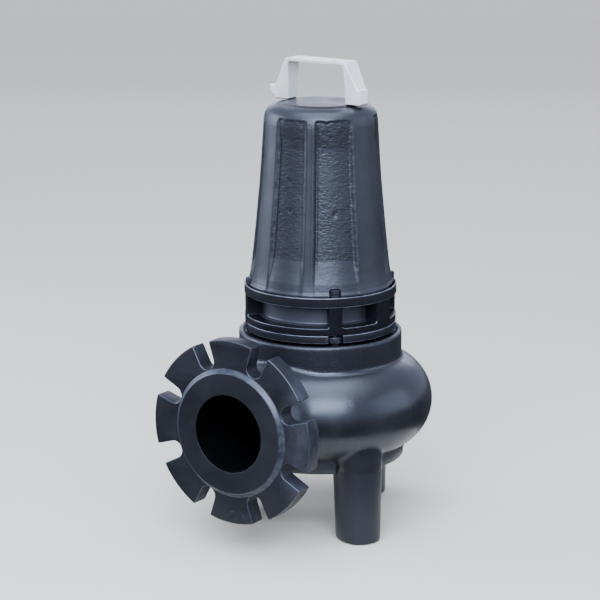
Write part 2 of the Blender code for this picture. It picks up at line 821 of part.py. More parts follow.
# Cable gland on the rear of the shell, closed with a blanking disc.
gland = add_object(
    "gland_body",
    turned_on_axis(
        [
            (0.0, 0.0560),
            (0.0170, 0.0560),
            (0.0170, 0.0740),
            (0.0155, 0.0752),
            (0.0135, 0.0760),
            (0.0135, 0.0790),
            (0.0, 0.0790),
        ],
        28,
    ),
    cast_paint,
    location=(0, 0, GLAND_Z),
)
gland.rotation_euler = (math.radians(-90.0), 0.0, 0.0)
gland_room = add_object(
    "gland_room_cut",
    turned_on_axis([(0, 0.0557), (0.0173, 0.0557), (0.0173, 0.0900), (0, 0.0900)], 28),
    location=(0, 0, GLAND_Z),
)
gland_room.rotation_euler = (math.radians(-90.0), 0.0, 0.0)
combine(shell, gland_room, "DIFFERENCE")
gland_nut = add_object(
    "gland_nut",
    turned_on_axis(
        [
            (0.0, 0.0793),
            (0.0135, 0.0793),
            (0.0135, 0.0860),
            (0.0110, 0.0900),
            (0.0078, 0.0900),
            (0.0078, 0.0880),
            (0.0, 0.0880),
        ],
        12,
    ),
    gland_black,
    location=(0, 0, GLAND_Z),
)
gland_nut.rotation_euler = (math.radians(-90.0), 0.0, 0.0)
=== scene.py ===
import math

import bmesh
import bpy
import numpy as np
from mathutils import Matrix, Vector, noise


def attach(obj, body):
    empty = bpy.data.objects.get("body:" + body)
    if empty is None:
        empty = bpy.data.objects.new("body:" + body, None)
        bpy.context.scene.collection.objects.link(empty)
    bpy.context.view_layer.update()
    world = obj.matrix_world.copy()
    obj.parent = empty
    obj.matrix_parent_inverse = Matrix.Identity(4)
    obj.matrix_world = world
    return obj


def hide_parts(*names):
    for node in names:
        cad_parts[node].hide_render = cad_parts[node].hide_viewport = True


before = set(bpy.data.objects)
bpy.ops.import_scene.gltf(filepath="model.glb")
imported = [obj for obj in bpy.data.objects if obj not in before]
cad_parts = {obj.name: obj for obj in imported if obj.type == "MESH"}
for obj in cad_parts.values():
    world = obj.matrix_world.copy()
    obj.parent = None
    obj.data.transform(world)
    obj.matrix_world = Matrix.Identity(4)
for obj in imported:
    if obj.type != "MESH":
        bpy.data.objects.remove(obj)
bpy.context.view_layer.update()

mm = 0.001
axisY = 0.026  # the pump's axis stands this far behind the origin
body = "root"
print("frame loaded:", len(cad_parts), "nodes")


# camera, floor and light
view = {"place": (1.33896, -2.00234, 0.8341), "turn": 33.96, "tilt": 13.58, "lens": 135.87}


def aimCamera():
    data = bpy.data.cameras.new("studioCamera")
    data.lens = view["lens"]
    data.sensor_width = 36.0
    data.clip_end = 50.0
    camera = bpy.data.objects.new("studioCamera", data)
    bpy.context.scene.collection.objects.link(camera)
    camera.location = view["place"]
    camera.rotation_euler = (math.radians(90.0 - view["tilt"]), 0.0, math.radians(view["turn"]))
    bpy.context.scene.camera = camera


aimCamera()

studio = {
    "worldColour": (0.63, 0.70, 1.0),
    "worldStrength": 1.05,
    "floorColour": (0.605, 0.57, 0.462),
    "skyStrength": 2.2,
    "skyColour": (0.84, 0.88, 1.0),
    "skyAngle": 70.0,
    # name: place, aim, size, strength, colour, spread in degrees
    "lamps": {
        "mainSoftbox": ((0.95, -1.65, 1.50), (0.0, 0.0, 0.20), (2.3, 1.3), 138.0, (0.72, 0.79, 1.0), 180.0),
        "sideSoftbox": ((-2.0, -0.55, 0.85), (0.0, 0.0, 0.30), (1.2, 1.2), 18.0, (0.72, 0.79, 1.0), 120.0),
        "backSoftbox": ((-2.0, 3.2, 1.25), (0.0, 0.0, 0.45), (3.4, 0.9), 14.0, (0.85, 0.90, 1.0), 120.0),
        "rightSoftbox": ((2.3, 1.1, 0.95), (0.0, 0.0, 0.25), (2.2, 1.6), 7.8, (0.72, 0.79, 1.0), 120.0),
        "topSoftbox": ((0.15, -0.25, 1.9), (0.0, 0.0, 0.40), (1.3, 1.3), 25.0, (0.60, 0.74, 1.0), 180.0),
    },
    # a dark card on the floor that only reflections see: inner and outer radius, grey
    "flag": (0.245, 5.0, 0.012),
    # the round paper wall behind the floor: where it starts, its bend, its height, its glow at the top
    "backdrop": (5.6, 1.6, 7.0, 0.62),
}


def darkFlag():
    inner, outer, grey = studio["flag"]
    net = bmesh.new()
    rings = []
    for radius in (inner, outer):
        rings.append([net.verts.new((math.cos(math.tau * i / 48) * radius, math.sin(math.tau * i / 48) * radius, 0.0))
                      for i in range(48)])
    for i in range(48):
        j = (i + 1) % 48
        net.faces.new((rings[0][i], rings[1][i], rings[1][j], rings[0][j]))
    mesh = bpy.data.meshes.new("darkFlag")
    net.to_mesh(mesh)
    net.free()
    card = bpy.data.objects.new("darkFlag", mesh)
    card.location = (0.0, axisY, 0.002)
    bpy.context.scene.collection.objects.link(card)
    felt = bpy.data.materials.new("blackFelt")
    felt.use_nodes = True
    felt.node_tree.nodes["Principled BSDF"].inputs["Base Color"].default_value = (grey, grey, grey, 1.0)
    felt.node_tree.nodes["Principled BSDF"].inputs["Roughness"].default_value = 1.0
    mesh.materials.append(felt)
    card.visible_camera = card.visible_diffuse = card.visible_shadow = False


def lightStudio():
    scene = bpy.context.scene
    world = bpy.data.worlds.new("studioWorld")
    scene.world = world
    world.use_nodes = True
    ground = world.node_tree.nodes["Background"]
    ground.inputs["Color"].default_value = (*studio["worldColour"], 1.0)
    ground.inputs["Strength"].default_value = studio["worldStrength"]
    for name, (place, aim, size, strength, colour, spread) in studio["lamps"].items():
        lamp = bpy.data.lights.new(name, "AREA")
        lamp.shape = "RECTANGLE"
        lamp.size, lamp.size_y = size
        lamp.energy = strength
        lamp.color = colour
        lamp.spread = math.radians(spread)
        holder = bpy.data.objects.new(name, lamp)
        holder.location = place
        holder.rotation_euler = (Vector(aim) - Vector(place)).to_track_quat("-Z", "Y").to_euler()
        scene.collection.objects.link(holder)
    sky = bpy.data.lights.new("overheadSky", "SUN")
    sky.energy = studio["skyStrength"]
    sky.color = studio["skyColour"]
    sky.angle = math.radians(studio["skyAngle"])
    skyHolder = bpy.data.objects.new("overheadSky", sky)
    skyHolder.rotation_euler = (math.radians(8.0), math.radians(6.0), 0.0)
    scene.collection.objects.link(skyHolder)
    net = bmesh.new()
    bmesh.ops.create_grid(net, x_segments=8, y_segments=8, size=12.0)
    mesh = bpy.data.meshes.new("studioFloor")
    net.to_mesh(mesh)
    net.free()
    floor = bpy.data.objects.new("studioFloor", mesh)
    floor.location.z = -0.0005
    scene.collection.objects.link(floor)
    paper = bpy.data.materials.new("paperFloor")
    paper.use_nodes = True
    shader = paper.node_tree.nodes["Principled BSDF"]
    shader.inputs["Base Color"].default_value = (*studio["floorColour"], 1.0)
    shader.inputs["Roughness"].default_value = 0.9
    shader.inputs["Specular IOR Level"].default_value = 0.1
    mesh.materials.append(paper)


def paperWall():
    # the floor's paper bends up into a pale wall, so that low views end softly
    start, bend, top, glow = studio["backdrop"]
    profile = [(start + bend * math.sin(a), bend * (1.0 - math.cos(a))) for a in np.linspace(0.0, math.pi / 2, 14)]
    profile.append((start + bend, top))
    net = bmesh.new()
    rings = [[net.verts.new((math.cos(math.tau * i / 96) * r, math.sin(math.tau * i / 96) * r, z)) for i in range(96)]
             for r, z in profile]
    for lower, upper in zip(rings, rings[1:]):
        for i in range(96):
            j = (i + 1) % 96
            net.faces.new((lower[i], upper[i], upper[j], lower[j]))
    mesh = bpy.data.meshes.new("paperWall")
    net.to_mesh(mesh)
    net.free()
    mesh.shade_smooth()
    wall = bpy.data.objects.new("paperWall", mesh)
    wall.location.z = -0.0004
    bpy.context.scene.collection.objects.link(wall)
    paper = bpy.data.materials.new("paperWall")
    paper.use_nodes = True
    tree = paper.node_tree
    shader = tree.nodes["Principled BSDF"]
    shader.inputs["Base Color"].default_value = (*studio["floorColour"], 1.0)
    shader.inputs["Roughness"].default_value = 0.9
    shader.inputs["Specular IOR Level"].default_value = 0.1
    shader.inputs["Emission Color"].default_value = (1.0, 1.0, 1.0, 1.0)
    place = tree.nodes.new("ShaderNodeTexCoord")
    split = tree.nodes.new("ShaderNodeSeparateXYZ")
    rise = tree.nodes.new("ShaderNodeMapRange")
    rise.interpolation_type = "SMOOTHSTEP"
    rise.inputs["From Max"].default_value = bend
    rise.inputs["To Max"].default_value = glow
    tree.links.new(place.outputs["Object"], split.inputs[0])
    tree.links.new(split.outputs["Z"], rise.inputs["Value"])
    tree.links.new(rise.outputs["Result"], shader.inputs["Emission Strength"])
    mesh.materials.append(paper)
    wall.visible_diffuse = wall.visible_glossy = wall.visible_shadow = False


lightStudio()
darkFlag()
paperWall()
print("camera and light set")


# finishes
class Graph:
    # short hand for building one material's nodes
    def __init__(self, name):
        self.material = bpy.data.materials.new(name)
        self.material.use_nodes = True
        self.tree = self.material.node_tree
        self.shader = self.tree.nodes["Principled BSDF"]
        self.column = 0

    def node(self, kind, **settings):
        made = self.tree.nodes.new(kind)
        self.column += 1
        made.location = (-220 * (1 + self.column % 6), -260 * (self.column // 6))
        for key, value in settings.items():
            if key in made.inputs:
                made.inputs[key].default_value = value
            else:
                setattr(made, key, value)
        return made

    def join(self, source, target):
        self.tree.links.new(source, target)

    def noise(self, scale, detail=3.0, rough=0.5, distortion=0.0, stretch=None):
        place = self.node("ShaderNodeTexCoord").outputs["Object"]
        if stretch is not None:
            mapping = self.node("ShaderNodeMapping")
            mapping.inputs["Scale"].default_value = stretch
            self.join(place, mapping.inputs["Vector"])
            place = mapping.outputs["Vector"]
        made = self.node("ShaderNodeTexNoise")
        made.inputs["Scale"].default_value = scale
        made.inputs["Detail"].default_value = detail
        made.inputs["Roughness"].default_value = rough
        made.inputs["Distortion"].default_value = distortion
        self.join(place, made.inputs["Vector"])
        return made.outputs["Fac"]

    def ramp(self, source, low, high, start=0.0, end=1.0):
        made = self.node("ShaderNodeMapRange")
        made.inputs["From Min"].default_value = low
        made.inputs["From Max"].default_value = high
        made.inputs["To Min"].default_value = start
        made.inputs["To Max"].default_value = end
        made.clamp = True
        self.join(source, made.inputs["Value"])
        return made.outputs["Result"]

    def mixColour(self, share, first, second):
        made = self.node("ShaderNodeMix", data_type="RGBA")
        for socket, value in ((made.inputs[6], first), (made.inputs[7], second)):
            if isinstance(value, tuple):
                socket.default_value = (*value, 1.0)
            else:
                self.join(value, socket)
        if isinstance(share, float):
            made.inputs[0].default_value = share
        else:
            self.join(share, made.inputs[0])
        return made.outputs[2]

    def sum(self, first, second, operation="ADD", clamp=False):
        made = self.node("ShaderNodeMath", operation=operation, use_clamp=clamp)
        for socket, value in zip(made.inputs, (first, second)):
            if isinstance(value, float):
                socket.default_value = value
            else:
                self.join(value, socket)
        return made.outputs[0]

    def bump(self, height, depth, strength=1.0, before=None):
        made = self.node("ShaderNodeBump")
        made.inputs["Strength"].default_value = strength
        made.inputs["Distance"].default_value = depth
        self.join(height, made.inputs["Height"])
        if before is not None:
            self.join(before, made.inputs["Normal"])
        return made.outputs["Normal"]


paint = {
    "dark": (0.0058, 0.0058, 0.0070),
    "light": (0.0106, 0.0108, 0.0132),
    # pale edges: partly thin, worn paint, partly a painted highlight
    "edge": (0.034, 0.037, 0.048),
    "dust": (0.016, 0.016, 0.016),
    "chip": (0.40, 0.42, 0.45),
    # a paler colour painted on one side of a piece as light falling there
    "paintedSideLight": (0.055, 0.060, 0.078),
    "sheen": (0.82, 0.89, 1.0),  # the tint of its reflections
}


def paintedIron(name, gloss=0.40, shine=0.5, peel=0.10, sand=0.0, wave=0.0, chips=0.0, paintedSideLight=0.0,
                paintedLight=1.0):
    # thick dark paint over a sand casting
    g = Graph(name)
    # paintedLight scales the paint's colours: below one is painted shade, above one painted light
    dark, light, dirt = (tuple(value * paintedLight for value in paint[key]) for key in ("dark", "light", "dust"))
    cloud = g.ramp(g.noise(14.0, 5.0, 0.6), 0.35, 0.68)
    fine = g.ramp(g.noise(160.0, 3.0, 0.6), 0.35, 0.70)
    colour = g.mixColour(cloud, dark, light)
    # convex edges turn paler: worn paint and a painted highlight along the edge
    shape = g.node("ShaderNodeNewGeometry").outputs["Pointiness"]
    edge = g.sum(g.sum(g.ramp(shape, 0.52, 0.60), fine, "MULTIPLY", True), min(paintedLight, 1.0), "MULTIPLY")
    colour = g.mixColour(edge, colour, paint["edge"])
    dust = g.ramp(g.noise(46.0, 4.0, 0.55), 0.55, 0.80, 0.0, 0.30)
    colour = g.mixColour(dust, colour, dirt)
    if paintedSideLight:
        # painted light on one side: paler, duller patches towards high X, where the light falls
        across = g.node("ShaderNodeSeparateXYZ")
        g.join(g.node("ShaderNodeTexCoord").outputs["Object"], across.inputs[0])
        side = g.ramp(across.outputs["X"], 0.062, 0.084)
        patch = g.ramp(g.noise(40.0, 5.0, 0.7, 0.0, (1.0, 0.45, 1.0)), 0.40, 0.62, 0.10, 1.0)
        side = g.sum(g.sum(side, patch, "MULTIPLY"), paintedSideLight, "MULTIPLY")
        colour = g.mixColour(side, colour, paint["paintedSideLight"])
    if chips:
        speck = g.ramp(g.noise(330.0, 1.0, 0.4), 0.79 - chips, 0.80 - chips)
        speck = g.sum(speck, g.ramp(shape, 0.53, 0.56), "MULTIPLY", True)
        colour = g.mixColour(speck, colour, paint["chip"])
    g.join(colour, g.shader.inputs["Base Color"])
    worn = g.ramp(g.noise(30.0, 4.0, 0.6), 0.3, 0.7, gloss - 0.06, gloss + 0.08)
    g.join(worn, g.shader.inputs["Roughness"])
    g.shader.inputs["Specular IOR Level"].default_value = shine
    g.shader.inputs["Specular Tint"].default_value = (*paint["sheen"], 1.0)
    normal = g.bump(g.noise(34.0, 2.0, 0.5), 0.35 * mm)
    normal = g.bump(g.noise(420.0, 2.0, 0.5), peel * mm, before=normal)
    if sand:
        normal = g.bump(g.noise(900.0, 2.0, 0.6), sand * mm, before=normal)
    if wave:
        # the wrinkled skin of the sunk panels; the ribs and the crown are nearly smooth
        sunk = g.node("ShaderNodeAttribute", attribute_name="sunk").outputs["Fac"]
        skin = g.noise(350.0, 2.5, 0.55, 0.5, (0.55, 0.55, 1.25))
        wrinkle = g.sum(skin, g.ramp(sunk, 0.0, 2.0, 0.12, 2.0), "MULTIPLY")
        normal = g.bump(wrinkle, wave * mm, before=normal)
    g.join(normal, g.shader.inputs["Normal"])
    return g.material


def wornEdgeWithHighlight(name, colour=(0.090, 0.098, 0.125), gloss=0.30, shine=0.70):
    # paint runs thin on an edge and shines more; its pale colour is partly a painted highlight along the edge
    g = Graph(name)
    broken = g.ramp(g.noise(120.0, 4.0, 0.65), 0.36, 0.60)
    g.join(g.mixColour(broken, tuple(value * 0.35 for value in colour), colour), g.shader.inputs["Base Color"])
    g.join(g.ramp(g.noise(60.0, 3.0), 0.3, 0.7, gloss - 0.05, gloss + 0.08), g.shader.inputs["Roughness"])
    g.shader.inputs["Specular IOR Level"].default_value = shine
    g.shader.inputs["Specular Tint"].default_value = (*paint["sheen"], 1.0)
    g.join(g.bump(g.noise(420.0, 2.0), 0.05 * mm), g.shader.inputs["Normal"])
    return g.material


def satinSteel(name, colour=(0.78, 0.80, 0.83), gloss=0.36, metal=0.85, grain=(1.0, 1.0, 14.0)):
    g = Graph(name)
    brushed = g.noise(70.0, 4.0, 0.6, 0.0, grain)
    cloud = g.noise(26.0, 4.0, 0.6)
    tone = g.ramp(cloud, 0.3, 0.7)
    dull = tuple(value * 0.80 for value in colour)
    g.join(g.mixColour(tone, dull, colour), g.shader.inputs["Base Color"])
    g.join(g.ramp(brushed, 0.3, 0.7, gloss - 0.08, gloss + 0.10), g.shader.inputs["Roughness"])
    g.shader.inputs["Metallic"].default_value = metal
    normal = g.bump(brushed, 0.32 * mm)
    normal = g.bump(g.noise(240.0, 3.0, 0.5), 0.05 * mm, before=normal)
    g.join(normal, g.shader.inputs["Normal"])
    return g.material


def mouldedPlastic(name, colour=(0.012, 0.012, 0.013)):
    g = Graph(name)
    tone = g.ramp(g.noise(60.0, 4.0), 0.3, 0.7)
    g.join(g.mixColour(tone, colour, tuple(value * 1.8 for value in colour)), g.shader.inputs["Base Color"])
    g.join(g.ramp(g.noise(90.0, 3.0), 0.3, 0.7, 0.42, 0.58), g.shader.inputs["Roughness"])
    g.join(g.bump(g.noise(700.0, 2.0), 0.05 * mm), g.shader.inputs["Normal"])
    return g.material


# paintedLight sets each piece's painted light: below one a painted shade, above one (the oil chamber wall) a painted
# light, so that pieces of the same paint read darker or lighter as the light falls on them
volutePaint = paintedIron("volutePaint", 0.29, 0.68, 0.05, 0.03, paintedLight=0.82)
legPaint = paintedIron("legPaint", 0.40, 0.44, 0.08, 0.08, paintedLight=0.90)
flangePaint = paintedIron("flangePaint", 0.46, 0.26, 0.08, 0.05, chips=0.02, paintedSideLight=0.35)
collarPaint = paintedIron("collarPaint", 0.36, 0.62, 0.22, 0.24, paintedLight=0.65)
shellPaint = paintedIron("shellPaint", 0.40, 0.62, 0.05, 0.02, 0.42)
lanternPaint = paintedIron("lanternPaint", 0.36, 0.30, 0.06, paintedLight=0.75)
wallPaint = paintedIron("wallPaint", 0.40, 0.16, 0.06, paintedLight=0.45)
corePaint = paintedIron("corePaint", 0.46, 0.85, 0.10, 0.05, paintedLight=1.5)
boltPaint = paintedIron("boltPaint", 0.40, 0.35, 0.04, chips=0.02)
# painted shade: the casing paint darkened nearly to black for the insides, where little light reaches
paintedShadeInside = paintedIron("paintedShadeInside", 0.70, 0.04, 0.12, 0.05, paintedLight=0.12)
wheelPaint = paintedIron("wheelPaint", 0.50, 0.15, 0.12, 0.05, paintedLight=0.45)
# pale coats for rounded edges: worn paint and a painted highlight
edgeWearHighlightPaint = wornEdgeWithHighlight("edgeWearHighlightPaint")
softEdgeWearHighlightPaint = wornEdgeWithHighlight("softEdgeWearHighlightPaint", (0.028, 0.031, 0.042), 0.36, 0.55)
handleSteel = satinSteel("handleSteel", (0.88, 0.87, 0.82), 0.40, 0.50, (7.0, 7.0, 0.6))
shaftSteel = satinSteel("shaftSteel", (0.07, 0.073, 0.080), 0.42)
glandPlastic = mouldedPlastic("glandPlastic")
print("finishes made")


# ways of making a mesh
def addPiece(name, mesh, finish, replaced=(), smooth=None, place=None):
    made = bpy.data.objects.new(name, mesh)
    bpy.context.scene.collection.objects.link(made)
    mesh.materials.clear()
    mesh.materials.append(finish)
    if smooth is not None:
        mesh.shade_smooth()
        mesh.set_sharp_from_angle(angle=math.radians(smooth))
    if place is None:
        place = Matrix.Translation((0.0, axisY, 0.0))
    made.matrix_world = place
    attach(made, body)
    if replaced:
        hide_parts(*replaced)
    return made


def coatFacesWearAndPaintedLight(mesh, finish, axis=2, low=0.20, high=0.96, test=None):
    # gives chosen faces of a piece their own coat: the rounded edges a thinner, paler one (worn paint and a painted
    # highlight), the bore walls the near-black painted shade
    mesh.materials.append(finish)
    place = len(mesh.materials) - 1
    for face in mesh.polygons:
        if low < abs(face.normal[axis]) < high and (test is None or test(face.center)):
            face.material_index = place


def meshFromArrays(name, points, quads):
    mesh = bpy.data.meshes.new(name)
    mesh.vertices.add(len(points))
    mesh.vertices.foreach_set("co", np.asarray(points, dtype=np.float32).ravel())
    mesh.loops.add(quads.size)
    mesh.loops.foreach_set("vertex_index", quads.astype(np.int32).ravel())
    mesh.polygons.add(len(quads))
    mesh.polygons.foreach_set("loop_start", np.arange(0, quads.size, 4, dtype=np.int32))
    mesh.update(calc_edges=True)
    mesh.validate()
    return mesh


def roundCorners(points, sizes, steps=4, closed=True):
    # rounds the corners of an outline; a size of nought leaves a corner sharp
    made = []
    count = len(points)
    for i, point in enumerate(points):
        size = sizes[i] if not isinstance(sizes, (int, float)) else sizes
        if size <= 0 or (not closed and i in (0, count - 1)):
            made.append(tuple(point))
            continue
        here = Vector(point)
        before = Vector(points[i - 1]) - here
        after = Vector(points[(i + 1) % count]) - here
        reach = min(size, before.length * 0.48, after.length * 0.48)
        start = here + before.normalized() * reach
        end = here + after.normalized() * reach
        for j in range(steps + 1):
            t = j / steps
            spot = start * (1 - t) ** 2 + here * 2 * t * (1 - t) + end * t ** 2
            made.append((spot.x, spot.y))
    return made


def turnedMesh(name, outline, segments=160, closed=True):
    # outline of (radius, height) in mm, turned about Z
    count = len(outline)
    angles = np.linspace(0.0, math.tau, segments, endpoint=False)
    radius = np.array([p[0] for p in outline])
    height = np.array([p[1] for p in outline])
    points = np.empty((segments, count, 3))
    points[:, :, 0] = np.cos(angles)[:, None] * radius
    points[:, :, 1] = np.sin(angles)[:, None] * radius
    points[:, :, 2] = height
    quads = []
    spans = count if closed else count - 1
    for s in range(segments):
        t = (s + 1) % segments
        for i in range(spans):
            j = (i + 1) % count
            quads.append((s * count + i, s * count + j, t * count + j, t * count + i))
    mesh = meshFromArrays(name, points.reshape(-1, 3) * mm, np.array(quads))
    net = bmesh.new()
    net.from_mesh(mesh)
    bmesh.ops.remove_doubles(net, verts=net.verts, dist=1e-6)
    bmesh.ops.recalc_face_normals(net, faces=net.faces)
    net.to_mesh(mesh)
    net.free()
    return mesh


def plateMesh(name, outlines, low, high, edge):
    # a flat plate with rounded edges: the first outline is its rim and the others its holes
    curve = bpy.data.curves.new(name, "CURVE")
    curve.dimensions = "2D"
    curve.fill_mode = "BOTH"
    curve.extrude = (high - low) / 2 * mm - edge * mm
    curve.bevel_depth = edge * mm
    curve.bevel_resolution = 2
    curve.offset = -edge * mm
    for outline in outlines:
        spline = curve.splines.new("POLY")
        spline.points.add(len(outline) - 1)
        for point, (x, y) in zip(spline.points, outline):
            point.co = (x * mm, y * mm, 0.0, 1.0)
        spline.use_cyclic_u = True
    holder = bpy.data.objects.new(name, curve)
    bpy.context.scene.collection.objects.link(holder)
    bpy.context.view_layer.update()
    mesh = bpy.data.meshes.new_from_object(holder.evaluated_get(bpy.context.evaluated_depsgraph_get()))
    bpy.data.objects.remove(holder)
    bpy.data.curves.remove(curve)
    mesh.name = name
    mesh.transform(Matrix.Translation((0.0, 0.0, (low + high) / 2 * mm)))
    net = bmesh.new()
    net.from_mesh(mesh)
    bmesh.ops.remove_doubles(net, verts=net.verts, dist=1e-6)
    bmesh.ops.recalc_face_normals(net, faces=net.faces)
    net.to_mesh(mesh)
    net.free()
    return mesh


def skinOf(name, field, low, high, step):
    # a smooth skin where field(points) is nought: one point in each cell that it crosses
    low, high = np.array(low, float), np.array(high, float)
    counts = np.ceil((high - low) / step).astype(int) + 1
    axes = [low[i] + step * np.arange(counts[i]) for i in range(3)]
    gridX, gridY, gridZ = np.meshgrid(*axes, indexing="ij")
    nodes = np.stack([gridX, gridY, gridZ], axis=-1)
    values = field(nodes.reshape(-1, 3)).reshape(gridX.shape)
    cells = tuple(counts - 1)
    total = np.zeros((*cells, 3))
    crossed = np.zeros(cells)
    for axis in range(3):
        others = [i for i in range(3) if i != axis]
        for du in (0, 1):
            for dv in (0, 1):
                first = [0, 0, 0]
                first[others[0]], first[others[1]] = du, dv
                second = list(first)
                second[axis] = 1
                a = values[tuple(slice(o, o + n) for o, n in zip(first, cells))]
                b = values[tuple(slice(o, o + n) for o, n in zip(second, cells))]
                cross = (a < 0) != (b < 0)
                share = np.where(cross, a / np.where(cross, a - b, 1.0), 0.0)
                for i in range(3):
                    total[..., i] += cross * (first[i] + (share if i == axis else 0.0))
                crossed += cross
    active = crossed > 0
    index = np.full(cells, -1)
    index[active] = np.arange(active.sum())
    corner = np.stack(np.meshgrid(*[np.arange(n) for n in cells], indexing="ij"), axis=-1)[active]
    points = low + step * (corner + total[active] / crossed[active][:, None])
    quads = []
    for axis in range(3):
        others = [(axis + 1) % 3, (axis + 2) % 3]
        cut = [slice(1, n) for n in cells]
        cut[axis] = slice(0, cells[axis])
        nextCut = list(cut)
        nextCut[axis] = slice(1, cells[axis] + 1)
        a = values[tuple(cut)]
        b = values[tuple(nextCut)]
        cross = (a < 0) != (b < 0)
        where = np.argwhere(cross)
        base = where + np.array([c.start for c in cut])
        ring = []
        for du, dv in ((-1, -1), (0, -1), (0, 0), (-1, 0)):
            spot = base.copy()
            spot[:, others[0]] += du
            spot[:, others[1]] += dv
            ring.append(index[spot[:, 0], spot[:, 1], spot[:, 2]])
        ring = np.stack(ring, axis=-1)
        flip = a[cross] > 0
        ring[flip] = ring[flip][:, ::-1]
        quads.append(ring)
    quads = np.concatenate(quads)
    for turn in range(4):
        here = field(points)
        slope = np.stack([
            (field(points + shift) - field(points - shift)) / 0.2
            for shift in (np.eye(3) * 0.1)
        ], axis=-1)
        steepness = np.maximum((slope ** 2).sum(axis=-1), 0.2)
        move = -(here / steepness)[:, None] * slope
        length = np.linalg.norm(move, axis=-1, keepdims=True)
        points = points + move * np.minimum(1.0, 0.8 * step / np.maximum(length, 1e-9))
    return meshFromArrays(name, points * mm, quads)


def softUnion(a, b, reach):
    share = np.clip(0.5 + 0.5 * (b - a) / reach, 0.0, 1.0)
    return b * (1 - share) + a * share - reach * share * (1 - share)


def softCut(a, b, reach):
    return -softUnion(-a, b, reach)


def cylinderField(radial, along, radius, low, high, edge=0.0):
    # distance to an upright drum with rounded rims
    side = radial - (radius - edge)
    end = np.abs(along - (low + high) / 2) - ((high - low) / 2 - edge)
    outside = np.sqrt(np.maximum(side, 0) ** 2 + np.maximum(end, 0) ** 2)
    return outside + np.minimum(np.maximum(side, end), 0) - edge


# volute casing
casing = {
    "midHeight": 137.0,
    "ringRadius": 72.6,
    "sectionRadius": 51.88,
    "wall": 10.0,
    "neckRadius": 52.0,
    "flangeBack": -152.0,
    "collarRadius": 90.0,
    "collarTop": 216.0,
    "legCircle": 93.0,
    "legAngles": (-30.0, 90.0, 210.0),
    "legFoot": (26.0, 22.5),
    "legTop": (27.5, 27.0),
    "legSquareness": 2.3,
    "skinStep": 2.1,  # a finer skin would pass 200,000 triangles
}


def legField(points, angle):
    turn = math.radians(angle)
    outward = points[:, 0] * math.cos(turn) + points[:, 1] * math.sin(turn)
    across = -points[:, 0] * math.sin(turn) + points[:, 1] * math.cos(turn)
    height = points[:, 2]
    rise = np.clip(height / 118.0, 0.0, 1.0)
    halfOut, halfAcross = (
        foot + (top - foot) * rise for foot, top in zip(casing["legFoot"], casing["legTop"])
    )
    u = np.abs(outward - (casing["legCircle"] - 3.5 * rise)) / halfOut
    v = np.abs(across) / halfAcross
    power = casing["legSquareness"]
    size = np.maximum((u ** power + v ** power) ** (1.0 / power), 1e-6)
    edge = 2.0
    side = (size - 1.0) * halfAcross + edge
    end = np.abs(height - 59.0) - (59.0 - edge)
    outside = np.sqrt(np.maximum(side, 0) ** 2 + np.maximum(end, 0) ** 2)
    return outside + np.minimum(np.maximum(side, end), 0) - edge


def hollowField(points):
    x, y, z = points[:, 0], points[:, 1], points[:, 2]
    radial = np.hypot(x, y)
    inner = casing["sectionRadius"] - casing["wall"]
    chamber = np.sqrt(np.maximum(radial - casing["ringRadius"], 0) ** 2 + (z - casing["midHeight"]) ** 2) - inner
    across = np.hypot(x, z - casing["midHeight"])
    bore = np.maximum(across - 41.9, y + 20.0)
    return softUnion(chamber, bore, 8.0)


def casingField(points):
    x, y, z = points[:, 0], points[:, 1], points[:, 2]
    radial = np.hypot(x, y)
    middle = casing["midHeight"]
    shape = np.sqrt(np.maximum(radial - casing["ringRadius"], 0) ** 2 + (z - middle) ** 2) - casing["sectionRadius"]
    across = np.hypot(x, z - middle)
    neck = np.maximum(across - casing["neckRadius"], np.maximum(y + 20.0, -y - 168.0))
    pad = np.maximum(across - 69.0, np.maximum(y - casing["flangeBack"] + 0.8, -y - 168.0))
    shape = softUnion(shape, softUnion(neck, pad, 16.0), 22.0)
    collar = cylinderField(radial, z, casing["collarRadius"], 150.0, casing["collarTop"], 2.4)
    shape = softUnion(shape, collar, 3.6)
    for angle in casing["legAngles"]:
        shape = softUnion(shape, legField(points, angle), 2.8)
    mouth = np.maximum(radial - 84.3, 214.0 - z)
    shape = softCut(shape, mouth, 0.8)
    shape = np.maximum(shape, -np.maximum(radial - 75.5, z - 81.3))
    shape = np.maximum(shape, -np.maximum(radial - 60.0, z - 120.0))
    shape = np.maximum(shape, -np.maximum(radial - 74.0, 170.0 - z))
    return np.maximum(shape, -(hollowField(points) - 1.5))


casingMesh = skinOf("casingSkin", casingField, (-132, -158, -4), (132, 132, 222), casing["skinStep"])
print("casing skin:", len(casingMesh.polygons), "faces")
addPiece("volute_casting", casingMesh, volutePaint, ("volute_casing",), 60)
casingMesh.materials.append(collarPaint)
casingMesh.materials.append(legPaint)
# the collar and the legs take their own painted-light levels of the same paint
for face in casingMesh.polygons:
    x, y, z = face.center
    face.material_index = 1 if z > 0.1895 and math.hypot(x, y) < 0.0915 else 2 if z < 0.080 else 0


def liningMesh():
    mesh = skinOf("casingLining", hollowField, (-120, -176, 90), (120, 120, 184), 4.0)
    net = bmesh.new()
    net.from_mesh(mesh)
    far = [
        face for face in net.faces
        if face.calc_center_median().y < -0.1705
        or (
            math.hypot(*face.calc_center_median().xy) < 0.068
            and abs(face.calc_center_median().z - 0.137) > 0.030
            and face.calc_center_median().y > -0.060
        )
    ]
    bmesh.ops.delete(net, geom=far, context="FACES")
    bmesh.ops.reverse_faces(net, faces=net.faces)
    net.to_mesh(mesh)
    net.free()
    return mesh


# the casing's inner surfaces, in the near-black painted shade
addPiece("volute_lining", liningMesh(), paintedShadeInside, ("volute_casing",), 60)

